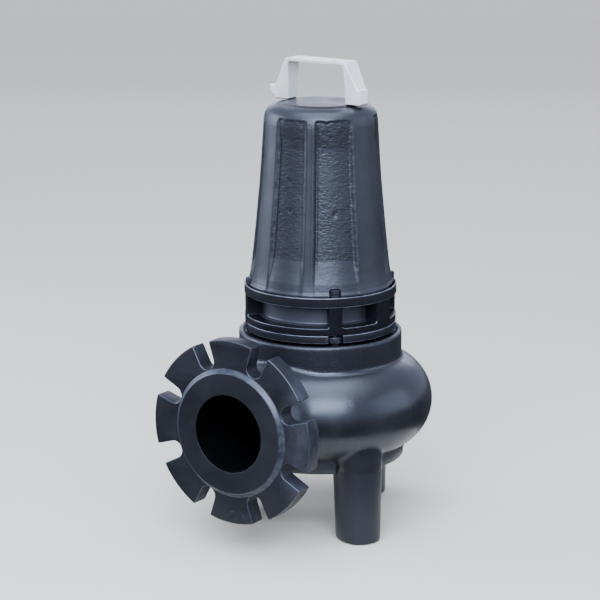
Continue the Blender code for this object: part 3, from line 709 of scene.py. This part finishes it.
# The machined ring under the volute, with its step, that the suction cover is let into.
baseOutline = roundCorners(
    [(75.5, 75.0), (92.2, 75.0), (93.0, 76.0), (93.0, 82.6), (94.2, 83.2), (94.2, 92.0), (75.5, 92.0)],
    [0.6, 0.0, 0.0, 0.3, 0.4, 0.0, 0.0],
)
addPiece("base_ring", turnedMesh("baseRing", baseOutline, 180), collarPaint, ("volute_casing",), 40)

flange = {
    "radius": 100.0,
    "front": 172.0,
    "thickness": 20.0,
    "faceRadius": 67.5,
    "faceHeight": 4.5,
    "boreRadius": 42.0,
    "slotCentre": 80.0,
    "slotRoot": 9.5,
    "slotMouth": 11.2,
    "edge": 1.3,
}


def flangeOutline():
    points = []
    rim = flange["radius"]
    half = math.degrees(math.asin(flange["slotMouth"] / rim))
    for number in range(8):
        middle = 22.5 + 45.0 * number
        turn = math.radians(middle)
        along = np.array([math.cos(turn), math.sin(turn)])
        side = np.array([-math.sin(turn), math.cos(turn)])
        mouthIn = rim * math.cos(math.radians(half)) - 2.0
        # rim corner, down one side, round the root, up the other side
        corner = [along * rim * math.cos(math.radians(half + 1.2 - i * 0.4))
                  - side * rim * math.sin(math.radians(half + 1.2 - i * 0.4)) for i in range(3)]
        points += [tuple(p) for p in corner]
        points.append(tuple(along * mouthIn - side * (flange["slotMouth"] - 0.25)))
        for i in range(15):
            angle = math.radians(260.0 - 160.0 * i / 14)
            spot = along * (flange["slotCentre"] + flange["slotRoot"] * math.cos(angle))
            spot = spot + side * flange["slotRoot"] * math.sin(angle)
            points.append(tuple(spot))
        points.append(tuple(along * mouthIn + side * (flange["slotMouth"] - 0.25)))
        corner = [along * rim * math.cos(math.radians(half + 0.4 + i * 0.4))
                  + side * rim * math.sin(math.radians(half + 0.4 + i * 0.4)) for i in range(3)]
        points += [tuple(p) for p in corner]
        start, end = middle + half + 2.0, middle + 45.0 - half - 2.0
        for i in range(13):
            angle = math.radians(start + (end - start) * i / 12)
            points.append((rim * math.cos(angle), rim * math.sin(angle)))
    return points


faceOutlet = Matrix.Translation((0.0, axisY, casing["midHeight"] * mm)) @ Matrix.Rotation(math.pi / 2, 4, "X")
hole = [(56.0 * math.cos(a), 56.0 * math.sin(a)) for a in np.linspace(0, math.tau, 90, endpoint=False)]
flangePlate = plateMesh(
    "flangePlate", [flangeOutline(), hole], flange["front"] - flange["thickness"], flange["front"], flange["edge"]
)
addPiece("outlet_flange", flangePlate, flangePaint, ("volute_casing",), 35, faceOutlet)
# pale edge coat on the flange: worn paint and a painted highlight
coatFacesWearAndPaintedLight(flangePlate, softEdgeWearHighlightPaint)

front = flange["front"]
faceOutline = roundCorners(
    [
        (flange["boreRadius"], front - 60.0),
        (flange["boreRadius"], front + flange["faceHeight"]),
        (flange["faceRadius"] - 2.0, front + flange["faceHeight"]),
        (flange["faceRadius"] + 1.4, front + 0.6),
        (flange["faceRadius"] + 2.6, front + 0.1),
        (flange["faceRadius"] + 2.9, front - 2.0),
        (57.0, front - 3.0),
        (46.0, front - 60.0),
    ],
    [0.0, 0.9, 1.6, 1.4, 0.1, 0.0, 0.0, 0.0],
    6,
)
faceMesh = turnedMesh("raisedFace", faceOutline, 160)
addPiece("raised_face", faceMesh, flangePaint, ("volute_casing",), 35, faceOutlet)
# pale edge coat on the raised face's step: worn paint and a painted highlight
coatFacesWearAndPaintedLight(faceMesh, softEdgeWearHighlightPaint, test=lambda spot: spot.z > (front + 0.2) * mm and math.hypot(spot.x, spot.y) > 0.060)
# the bore's walls take the near-black painted shade
coatFacesWearAndPaintedLight(faceMesh, paintedShadeInside, 2, -1.0, 0.5, lambda spot: math.hypot(spot.x, spot.y) < 0.0425)
print("casing made")

# suction cover and back plate
coverOutline = roundCorners(
    [(40.0, 74.0), (75.0, 74.0), (75.0, 81.0), (59.5, 81.0), (59.5, 93.0), (52.0, 96.5), (43.0, 101.0), (40.0, 101.0)],
    [2.0, 1.0, 0.3, 0.0, 0.6, 1.5, 1.5, 1.0],
)
addPiece("suction_plate", turnedMesh("suctionPlate", coverOutline, 140), collarPaint, ("suction_cover",),
         40)

plate = {"notchWidth": 16.0, "notchDepth": 70.6, "clampAngles": (-135.0, -45.0, 45.0, 135.0), "clampCircle": 78.5}


def discWithNotches(name, radius, inner, low, high, edge):
    rim = []
    half = math.degrees(math.asin(plate["notchWidth"] / 2 / radius))
    for k, middle in enumerate(plate["clampAngles"]):
        turn = math.radians(middle)
        along = Vector((math.cos(turn), math.sin(turn)))
        side = Vector((-math.sin(turn), math.cos(turn)))
        w = plate["notchWidth"] / 2
        notch = [
            along * math.sqrt(radius ** 2 - w ** 2) - side * w,
            along * plate["notchDepth"] - side * w,
            along * plate["notchDepth"] + side * w,
            along * math.sqrt(radius ** 2 - w ** 2) + side * w,
        ]
        rounded = roundCorners([tuple(p) for p in notch], [0.0, 3.5, 3.5, 0.0], 4, False)
        rim += rounded
        following = plate["clampAngles"][(k + 1) % 4] + (360.0 if k == 3 else 0.0)
        for i in range(1, 40):
            angle = math.radians(middle + half + (following - middle - 2 * half) * i / 40)
            rim.append((radius * math.cos(angle), radius * math.sin(angle)))
    holeRing = [(inner * math.cos(a), inner * math.sin(a)) for a in np.linspace(0, math.tau, 64, endpoint=False)]
    return plateMesh(name, [rim, holeRing], low, high, edge)


rimMesh = discWithNotches("plateRim", 83.2, 30.0, 218.4, 227.0, 0.8)
addPiece("plate_rim", rimMesh, lanternPaint, ("back_plate",), 35)
# pale edge coat on the plate rim: worn paint and a painted highlight
coatFacesWearAndPaintedLight(rimMesh, edgeWearHighlightPaint)
spigot = roundCorners([(11.8, 186.0), (26.0, 186.0), (32.0, 195.0), (72.0, 195.0), (72.0, 219.0), (11.8, 219.0)],
                      [0.5, 1.5, 2.0, 1.0, 0.0, 0.0])
# the spigot inside the plate, in the near-black painted shade
addPiece("plate_spigot", turnedMesh("plateSpigot", spigot, 120), paintedShadeInside, ("back_plate",), 40)

# lantern
lantern = {
    "radius": 83.3,
    "ringRadius": 83.8,
    "coreRadius": 66.4,
    "depth": 20.3,
    "bottom": 227.5,
    "sill": 235.0,
    "lintel": 258.0,
    "top": 268.7,
    "windows": ((-130, -50), (-40, -9), (9, 40), (50, 130), (140, 171), (189, 220)),
    "corner": 3.0,
    "edge": 1.0,
}


def bentWall():
    # a flat strip with its windows cut out, then wrapped round the axis
    radius = lantern["radius"]
    length = math.tau * radius
    toLength = radius * math.pi / 180.0

    def box(x0, x1, y0, y1, corner):
        return roundCorners([(x0, y0), (x1, y0), (x1, y1), (x0, y1)], corner, 5)

    rim = [(-3.0, lantern["bottom"]), (length + 3.0, lantern["bottom"]),
           (length + 3.0, lantern["top"]), (-3.0, lantern["top"])]
    holes = []
    for start, end in lantern["windows"]:
        begin = (start + 135.0) % 360.0  # the seam lies in the middle of a narrow column
        finish = begin + (end - start)
        holes.append(box(begin * toLength, finish * toLength, lantern["sill"], lantern["lintel"], lantern["corner"]))
    mesh = plateMesh("lanternWall", [rim, *holes], 0.0, lantern["depth"], lantern["edge"])
    net = bmesh.new()
    net.from_mesh(mesh)
    bmesh.ops.triangulate(net, faces=net.faces)
    for i in range(-1, 183):
        bmesh.ops.bisect_plane(
            net,
            geom=net.verts[:] + net.edges[:] + net.faces[:],
            plane_co=(length * mm * i / 180.0 + 1e-7, 0.0, 0.0),
            plane_no=(1.0, 0.0, 0.0),
        )
    outside = [f for f in net.faces if not 0.0 < f.calc_center_median().x < length * mm]
    bmesh.ops.delete(net, geom=outside, context="FACES")
    for vert in net.verts:
        x, height, depth = vert.co
        angle = x / mm / radius - math.radians(135.0)
        here = radius * mm - (lantern["depth"] * mm - depth)
        vert.co = (here * math.cos(angle), here * math.sin(angle), height)
    bmesh.ops.remove_doubles(net, verts=net.verts, dist=2e-6)
    bmesh.ops.recalc_face_normals(net, faces=net.faces)
    net.to_mesh(mesh)
    net.free()
    return mesh


wallMesh = bentWall()
addPiece("lantern_wall", wallMesh, wallPaint, ("lantern",), 35)
# paler sill and lower window corners: worn paint and a painted highlight
coatFacesWearAndPaintedLight(wallMesh, edgeWearHighlightPaint, low=-1.0, high=0.9,
          test=lambda spot: 0.12 < lantern["radius"] - math.hypot(spot.x, spot.y) / mm < lantern["edge"] * 0.9
          and spot.z < (lantern["sill"] + 1.6) * mm)
ringOutline = roundCorners(
    [(74.0, 257.6), (lantern["ringRadius"], 257.6), (lantern["ringRadius"], 268.7), (74.0, 268.7)],
    [0.0, 1.4, 1.4, 0.0], 5,
)
ringMesh = turnedMesh("lanternRing", ringOutline, 180)
addPiece("lantern_ring", ringMesh, lanternPaint, ("lantern",), 40)
# pale edge coat on the lantern ring: worn paint and a painted highlight
coatFacesWearAndPaintedLight(ringMesh, edgeWearHighlightPaint)
coreOutline = roundCorners(
    [(11.8, 227.7), (70.0, 227.7), (70.0, 235.2), (lantern["coreRadius"], 236.4), (lantern["coreRadius"], 257.0),
     (70.0, 258.2), (70.0, 268.5), (11.8, 268.5)],
    [0.0, 0.0, 0.0, 1.5, 1.5, 0.0, 0.0, 0.0],
)
addPiece("oil_chamber_wall", turnedMesh("oilChamberWall", coreOutline, 140), corePaint, ("lantern",),
         40)
print("lantern made")

# motor shell
shell = {
    "ribs": [  # radius and height down a rib
        (80.4, 268.8), (80.4, 270.6), (80.0, 271.3), (79.2, 271.8), (78.7, 272.8), (78.3, 275.0), (77.4, 279.5),
        (76.5, 285.0), (75.5, 292.0), (74.6, 300.0),
        (73.6, 309.0), (71.4, 330.0), (69.0, 355.0), (66.7, 380.0), (64.8, 405.0), (63.2, 430.0), (62.2, 448.0),
        (61.6, 452.5), (60.4, 457.0), (58.2, 460.6), (55.0, 463.4), (51.0, 465.3), (46.5, 466.2), (42.2, 466.4),
        (41.2, 466.6), (40.6, 467.3), (39.8, 467.9), (38.8, 468.0), (0.5, 468.0),
    ],
    # start, end, width of the step at each
    "panels": (
        (-104, -72, 2.2, 5.0), (-62, -25, 2.6, 3.6), (12, 27, 2.2, 2.2), (40, 50, 2.2, 2.2),
        (76, 108, 2.2, 5.0), (118, 155, 2.6, 3.6), (192, 207, 2.2, 2.2), (220, 230, 2.2, 2.2),
    ),
    # small dents: angle, height, size, depth
    "dents": ((-89.0, 389.0, 2.4, 0.7), (-43.0, 355.0, 3.0, 0.7), (-87.0, 357.0, 2.0, 0.5), (96.0, 372.0, 2.6, 0.6)),
    "boltAngles": (-135.0, -45.0, 45.0, 135.0),
    "boltCircle": 78.0,
    "boltRoom": 5.9,
    "boltRoof": 275.6,
    "bead": 0.55,
    "groove": 0.9,
    "panelDepth": 4.2,
    "panelTop": 455.0,
    "kneeHeight": 307.0,
    "around": 420,
    "upward": 215,
}


def shellMesh():
    profile = shell["ribs"]
    heights = np.array([p[1] for p in profile])
    radii = np.array([p[0] for p in profile])
    lengths = np.concatenate([[0.0], np.cumsum(np.hypot(np.diff(radii), np.diff(heights)))])
    # even steps up the side and over the crown
    steps = np.concatenate([
        np.linspace(0.0, 190.0, shell["upward"] - 34, endpoint=False),
        np.linspace(190.0, lengths[-1], 34),
    ])
    r = np.interp(steps, lengths, radii)
    z = np.interp(steps, lengths, heights)
    angles = np.linspace(-180.0, 180.0, shell["around"], endpoint=False)
    count = len(angles)
    points = np.empty((len(steps), count, 3))
    sunk = np.zeros((len(steps), count))
    for i in range(len(steps)):
        for j in range(count):
            angle = angles[j]
            turn = math.radians(angle)
            spot = Vector((math.cos(turn) * r[i], math.sin(turn) * r[i], z[i]))
            rag = noise.noise(spot * 0.16) * 1.4 + noise.noise(spot * 0.5) * 0.5
            share = 0.0
            rough = 1.0
            ridge = 0.0
            for start, end, softStart, softEnd in shell["panels"]:
                half = 0.5 * (end - start) * math.pi / 180.0 * r[i]
                off = ((angle - 0.5 * (start + end) + 180.0) % 360.0 - 180.0) * math.pi / 180.0 * r[i]
                soft = softStart if off < 0.0 else softEnd
                inside = half - abs(off)
                bead = (noise.noise(spot * 0.22) * 0.35 + noise.noise(spot * 0.75) * 0.22) if soft == 3.6 else 0.0
                share = max(share, min(1.0, max(0.0, (inside + rag * 0.12 + bead) / soft + 0.5)))
                if soft == 3.6 and inside > 0.0:
                    # the skin is roughest along this side
                    rough += 0.75 * math.exp(-((inside - 4.0) / 4.5) ** 2)
                if soft in (2.6, 3.6):
                    # a proud line beside the step and a groove at its foot
                    ridge += shell["bead"] * math.exp(-((inside + soft * 0.5 + 1.0) / 1.1) ** 2)
                if soft == 2.6:
                    ridge -= shell["groove"] * math.exp(-((inside - 2.0) / 1.3) ** 2)
            topEdge = shell["panelTop"] + rag * 1.2 - z[i]
            share *= min(1.0, max(0.0, topEdge / 3.2 + 0.5))
            ridge *= min(1.0, max(0.0, topEdge / 12.0))
            below = max(0.0, shell["kneeHeight"] + rag * 0.2 - z[i])
            depth = shell["panelDepth"] - min(1.0, below / 26.0) * 3.3
            depth *= 0.34 + 0.66 * min(1.0, max(0.0, topEdge / 30.0))
            ridge *= 1.0 - 0.8 * min(1.0, below / 26.0)
            share = share * share * (3.0 - 2.0 * share)
            cast = noise.noise(spot * 0.36) * 0.16 + noise.noise(spot * 0.085) * 0.10
            if z[i] < shell["kneeHeight"]:
                cast *= max(0.35, 1.0 - below / 6.0)
            sunk[i, j] = share * rough * (1.0 if below == 0.0 else max(0.30, 1.0 - below / 2.0))
            radius = r[i] - share * depth + share * cast + (1.0 - share) * noise.noise(spot * 0.05) * 0.12 + ridge
            for where, height, size, deep in shell["dents"]:
                if abs(z[i] - height) < 3 * size:
                    apart = ((angle - where + 180.0) % 360.0 - 180.0) * math.pi / 180.0 * r[i]
                    near = (apart ** 2 + (z[i] - height) ** 2) / size ** 2
                    radius -= deep * math.exp(-near)
            if z[i] < 290.0:
                for where in shell["boltAngles"]:
                    # a pocket round each bolt, with a rounded roof
                    apart = ((angle - where + 180.0) % 360.0 - 180.0) * math.pi / 180.0 * shell["boltCircle"]
                    room = shell["boltRoom"] ** 2 - apart ** 2 - (3.5 * max(0.0, z[i] - shell["boltRoof"])) ** 2
                    if room > 0.0:
                        radius = min(radius, shell["boltCircle"] - math.sqrt(room))
            points[i, j] = (math.cos(turn) * radius, math.sin(turn) * radius, z[i])
    index = np.arange(len(steps) * count).reshape(len(steps), count)
    following = np.roll(index, -1, axis=1)
    quads = np.stack([index[:-1], following[:-1], following[1:], index[1:]], axis=-1).reshape(-1, 4)
    mesh = meshFromArrays("shellSkin", points.reshape(-1, 3) * mm, quads)
    mesh.attributes.new("sunk", "FLOAT", "POINT").data.foreach_set("value", sunk.ravel().astype(np.float32))
    net = bmesh.new()
    net.from_mesh(mesh)
    edges = [e for e in net.edges if e.is_boundary]
    bmesh.ops.holes_fill(net, edges=edges)
    bmesh.ops.recalc_face_normals(net, faces=net.faces)
    net.to_mesh(mesh)
    net.free()
    return mesh


addPiece("motor_shell_casting", shellMesh(), shellPaint, ("motor_shell",), 50)
print("motor shell made")

# handle
handle = {"bottom": 468.9, "shoulder": 484.6, "top": 514.0, "halfLow": 8.8, "halfHigh": 12.5, "bar": 3.2, "edge": 0.8}


def handleMesh():
    top, shoulder, bottom, bar = handle["top"], handle["shoulder"], handle["bottom"], handle["bar"]
    half = roundCorners(
        [
            (0.0, top - bar - 0.6), (20.0, top - bar - 0.3), (35.4, top - bar + 0.3), (36.6, shoulder), (36.8, bottom),
            (54.5, bottom), (54.5, shoulder), (52.2, shoulder + 0.5), (38.0, top), (0.0, top),
        ],
        [0.0, 6.0, 5.0, 0.0, 0.0, 0.0, 0.7, 0.7, 1.4, 0.0],
        5, False,
    )
    outline = half + [(-x, z) for x, z in reversed(half[1:-1])]
    net = bmesh.new()
    ring = [net.verts.new((x * mm, -handle["halfLow"] * mm, z * mm)) for x, z in outline]
    face = net.faces.new(ring)
    lifted = bmesh.ops.extrude_face_region(net, geom=[face])
    moved = [v for v in lifted["geom"] if isinstance(v, bmesh.types.BMVert)]
    bmesh.ops.translate(net, verts=moved, vec=(0.0, 2 * handle["halfLow"] * mm, 0.0))
    for vert in net.verts:
        rise = (vert.co.z / mm - shoulder) / (top - shoulder)
        rise = min(1.0, max(0.0, rise))
        vert.co.y *= (handle["halfLow"] + (handle["halfHigh"] - handle["halfLow"]) * rise) / handle["halfLow"]
    # a small hook on the outside of the left leg
    hook = [(-53.5, 472.4), (-53.5, 482.4), (-62.2, 483.0), (-62.4, 481.0), (-58.2, 473.0)]
    ends = [[net.verts.new((x * mm, y * mm, z * mm)) for x, z in hook] for y in (-7.6, -2.6)]
    net.faces.new(ends[0])
    net.faces.new(ends[1][::-1])
    for i in range(len(hook)):
        j = (i + 1) % len(hook)
        net.faces.new((ends[0][i], ends[0][j], ends[1][j], ends[1][i]))
    bmesh.ops.recalc_face_normals(net, faces=net.faces)
    mesh = bpy.data.meshes.new("handleBar")
    net.to_mesh(mesh)
    net.free()
    return mesh


handlePiece = addPiece("carrying_handle", handleMesh(), handleSteel, ("handle",), 40)
edgeRound = handlePiece.modifiers.new("edgeRound", "BEVEL")
edgeRound.width = handle["edge"] * mm
edgeRound.segments = 3
edgeRound.limit_method = "ANGLE"
edgeRound.angle_limit = math.radians(35)
edgeRound.harden_normals = False

# feet of the handle: a dark gasket shows under each
gasket = {"height": 0.7, "inset": 0.6}


def gasketMesh(side):
    outline = roundCorners([(37.4, -8.2), (53.9, -8.2), (53.9, 8.2), (37.4, 8.2)], 1.0, 3)
    return plateMesh("gasket", [[(x * side, y) for x, y in outline]], 468.2, 468.2 + gasket["height"], 0.1)


addPiece("handle_gasket_left", gasketMesh(-1.0), glandPlastic, ("handle",), 35)
addPiece("handle_gasket_right", gasketMesh(1.0), glandPlastic, ("handle",), 35)
print("handle made")

# bolts, screws and plugs
fixings = {
    "motorBolt": {"flats": 9.2, "low": 269.0, "high": 276.8, "washer": 5.4},
    "clampBolt": {"head": 7.0, "low": 218.5, "high": 225.2, "stud": 3.6, "studTop": 227.2, "studFoot": 202.0},
    "coverScrew": {"head": 5.9, "low": 72.8, "high": 77.5, "socket": 5.0, "depth": 2.6},
    "oilPlug": {"head": 6.8, "low": 77.3, "high": 82.8, "socket": 6.0, "depth": 3.2},
    "circles": {"motor": 78.0, "clamp": 78.5, "cover": 67.5},
}


def ringedMesh(name, rings, segments=48):
    # each ring is a circle or a hexagon: (kind, size, height); size is half the width over the flats
    angles = np.arange(segments) * math.tau / segments
    flat = 1.0 / np.cos((angles + math.pi / 6) % (math.pi / 3) - math.pi / 6)
    points = []
    for kind, size, height in rings:
        reach = size * (np.minimum(flat, 1.145) if kind == "hex" else np.ones(segments))
        points.append(np.stack([np.cos(angles) * reach, np.sin(angles) * reach, np.full(segments, height)], axis=-1))
    index = np.arange(len(rings) * segments).reshape(len(rings), segments)
    following = np.roll(index, -1, axis=1)
    quads = np.stack([index[:-1], following[:-1], following[1:], index[1:]], axis=-1).reshape(-1, 4)
    mesh = meshFromArrays(name, np.concatenate(points) * mm, quads)
    net = bmesh.new()
    net.from_mesh(mesh)
    bmesh.ops.remove_doubles(net, verts=net.verts, dist=2e-6)
    bmesh.ops.recalc_face_normals(net, faces=net.faces)
    net.to_mesh(mesh)
    net.free()
    return mesh


def boltPlace(circle, angle):
    turn = math.radians(angle)
    radius = fixings["circles"][circle] * mm
    spin = Matrix.Rotation(turn + math.radians(11.0), 4, "Z")
    return Matrix.Translation((radius * math.cos(turn), axisY + radius * math.sin(turn), 0.0)) @ spin


def motorBoltMesh():
    low, high, half = (fixings["motorBolt"][key] for key in ("low", "high", "flats"))
    half /= 2
    washer = fixings["motorBolt"]["washer"]
    return ringedMesh("motorBolt", [
        ("round", 0.0, low), ("round", washer - 0.3, low), ("round", washer, low + 0.3), ("round", washer, low + 1.0),
        ("round", washer - 0.3, low + 1.3), ("hex", half, low + 1.3), ("hex", half, high - 0.9),
        ("hex", half * 0.97, high - 0.45), ("round", half * 0.93, high - 0.1), ("round", half * 0.8, high),
        ("round", 0.0, high),
    ])


def clampBoltMesh():
    size = fixings["clampBolt"]
    rings = [("round", 0.0, size["studFoot"]), ("round", 3.9, size["studFoot"]), ("round", 3.9, size["low"]),
             ("round", size["head"] - 0.7, size["low"]), ("round", size["head"], size["low"] + 0.7),
             ("round", size["head"], size["high"] - 0.9), ("round", size["head"] - 0.9, size["high"]),
             ("round", size["stud"], size["high"])]
    steps = 3
    for i in range(steps):
        height = size["high"] + (size["studTop"] - size["high"]) * (i + 0.5) / steps
        rings += [("round", size["stud"] - 0.35, height), ("round", size["stud"], height + 0.3)]
    rings.append(("round", 0.0, size["studTop"]))
    return ringedMesh("clampBolt", rings)


def socketHeadMesh(name, size):
    # the socket opens at the low end
    half = size["socket"] / 2
    return ringedMesh(name, [
        ("hex", 0.0, size["low"] + size["depth"]), ("hex", half, size["low"] + size["depth"]),
        ("hex", half, size["low"] + 0.4), ("hex", half + 0.4, size["low"]), ("round", size["head"] - 0.7, size["low"]),
        ("round", size["head"], size["low"] + 0.6), ("round", size["head"], size["high"]), ("round", 0.0, size["high"]),
    ])


motorBolt, clampBolt = motorBoltMesh(), clampBoltMesh()
coverScrew = socketHeadMesh("coverScrew", fixings["coverScrew"])
for number, angle in enumerate((-135.0, -45.0, 45.0, 135.0), 1):
    addPiece(f"motor_bolt_head_{number}", motorBolt.copy(), boltPaint, (f"motor_bolt_{number}",), 32,
             boltPlace("motor", angle))
    addPiece(f"clamp_bolt_head_{number}", clampBolt.copy(), boltPaint, (f"clamp_bolt_{number}",), 32,
             boltPlace("clamp", angle))
for number, angle in enumerate((30.0, 150.0, 270.0), 1):
    addPiece(f"cover_screw_head_{number}", coverScrew.copy(), boltPaint, (f"cover_screw_{number}",), 32,
             boltPlace("cover", angle))

plug = fixings["oilPlug"]
plugMesh = socketHeadMesh("oilPlug", {**plug, "low": -plug["high"], "high": -plug["low"]})
outward = Matrix.Translation((0.0, axisY, 0.2465)) @ Matrix.Rotation(math.radians(-90.0), 4, "Y")
addPiece("oil_plug_head", plugMesh, boltPaint, ("oil_plug",), 32, outward)

# cable gland, closed with a blanking disc
gland = {"height": 425.0, "body": 17.0, "neck": 13.4, "start": 56.0, "shoulder": 74.0, "seat": 79.0, "nut": 23.2, "end": 90.0}
backward = Matrix.Translation((0.0, axisY, gland["height"] * mm)) @ Matrix.Rotation(math.radians(-90.0), 4, "X")
bodyOutline = roundCorners(
    [(0.5, gland["start"]), (gland["body"], gland["start"]), (gland["body"], gland["shoulder"]),
     (gland["neck"], gland["shoulder"] + 2.0), (gland["neck"], gland["seat"]), (0.5, gland["seat"])],
    [0.0, 0.0, 2.2, 1.6, 0.5, 0.0], 5,
)
addPiece("gland_boss", turnedMesh("glandBoss", bodyOutline, 72), shellPaint, ("gland_body",), 40, backward)


def glandNutMesh():
    half, start, end = gland["nut"] / 2, gland["seat"] + 0.3, gland["end"]
    return ringedMesh("glandNut", [
        ("round", 0.0, start), ("round", half * 0.97, start), ("hex", half, start + 0.6), ("hex", half, start + 5.6),
        ("round", half * 0.98, start + 6.4), ("round", 10.8, start + 8.6), ("round", 10.2, end - 0.5),
        ("round", 9.6, end), ("round", 8.2, end), ("round", 7.8, end - 0.4), ("round", 7.8, end - 2.0),
        ("round", 2.0, end - 2.0), ("round", 0.0, end - 1.8),
    ], 60)


addPiece("gland_cap_nut", glandNutMesh(), glandPlastic, ("gland_nut",), 32, backward)


# impeller, its nut and the shaft's end
def roundedCopy(name, node, finish, width):
    # the solid's own form with its edges rounded
    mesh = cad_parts[node].data.copy()
    net = bmesh.new()
    net.from_mesh(mesh)
    bmesh.ops.remove_doubles(net, verts=net.verts, dist=1e-6)
    bmesh.ops.dissolve_limit(net, angle_limit=math.radians(2.0), verts=net.verts, edges=net.edges)
    net.to_mesh(mesh)
    net.free()
    made = addPiece(name, mesh, finish, (node,), 40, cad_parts[node].matrix_world.copy())
    edgeRound = made.modifiers.new("edgeRound", "BEVEL")
    edgeRound.width = width * mm
    edgeRound.segments = 2
    edgeRound.limit_method = "ANGLE"
    edgeRound.angle_limit = math.radians(38)
    return made


roundedCopy("impeller_wheel", "impeller", wheelPaint, 0.7)
roundedCopy("impeller_cap_nut", "impeller_nut", boltPaint, 0.5)
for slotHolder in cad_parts["shaft"].material_slots:
    slotHolder.material = shaftSteel
print("small pieces made")
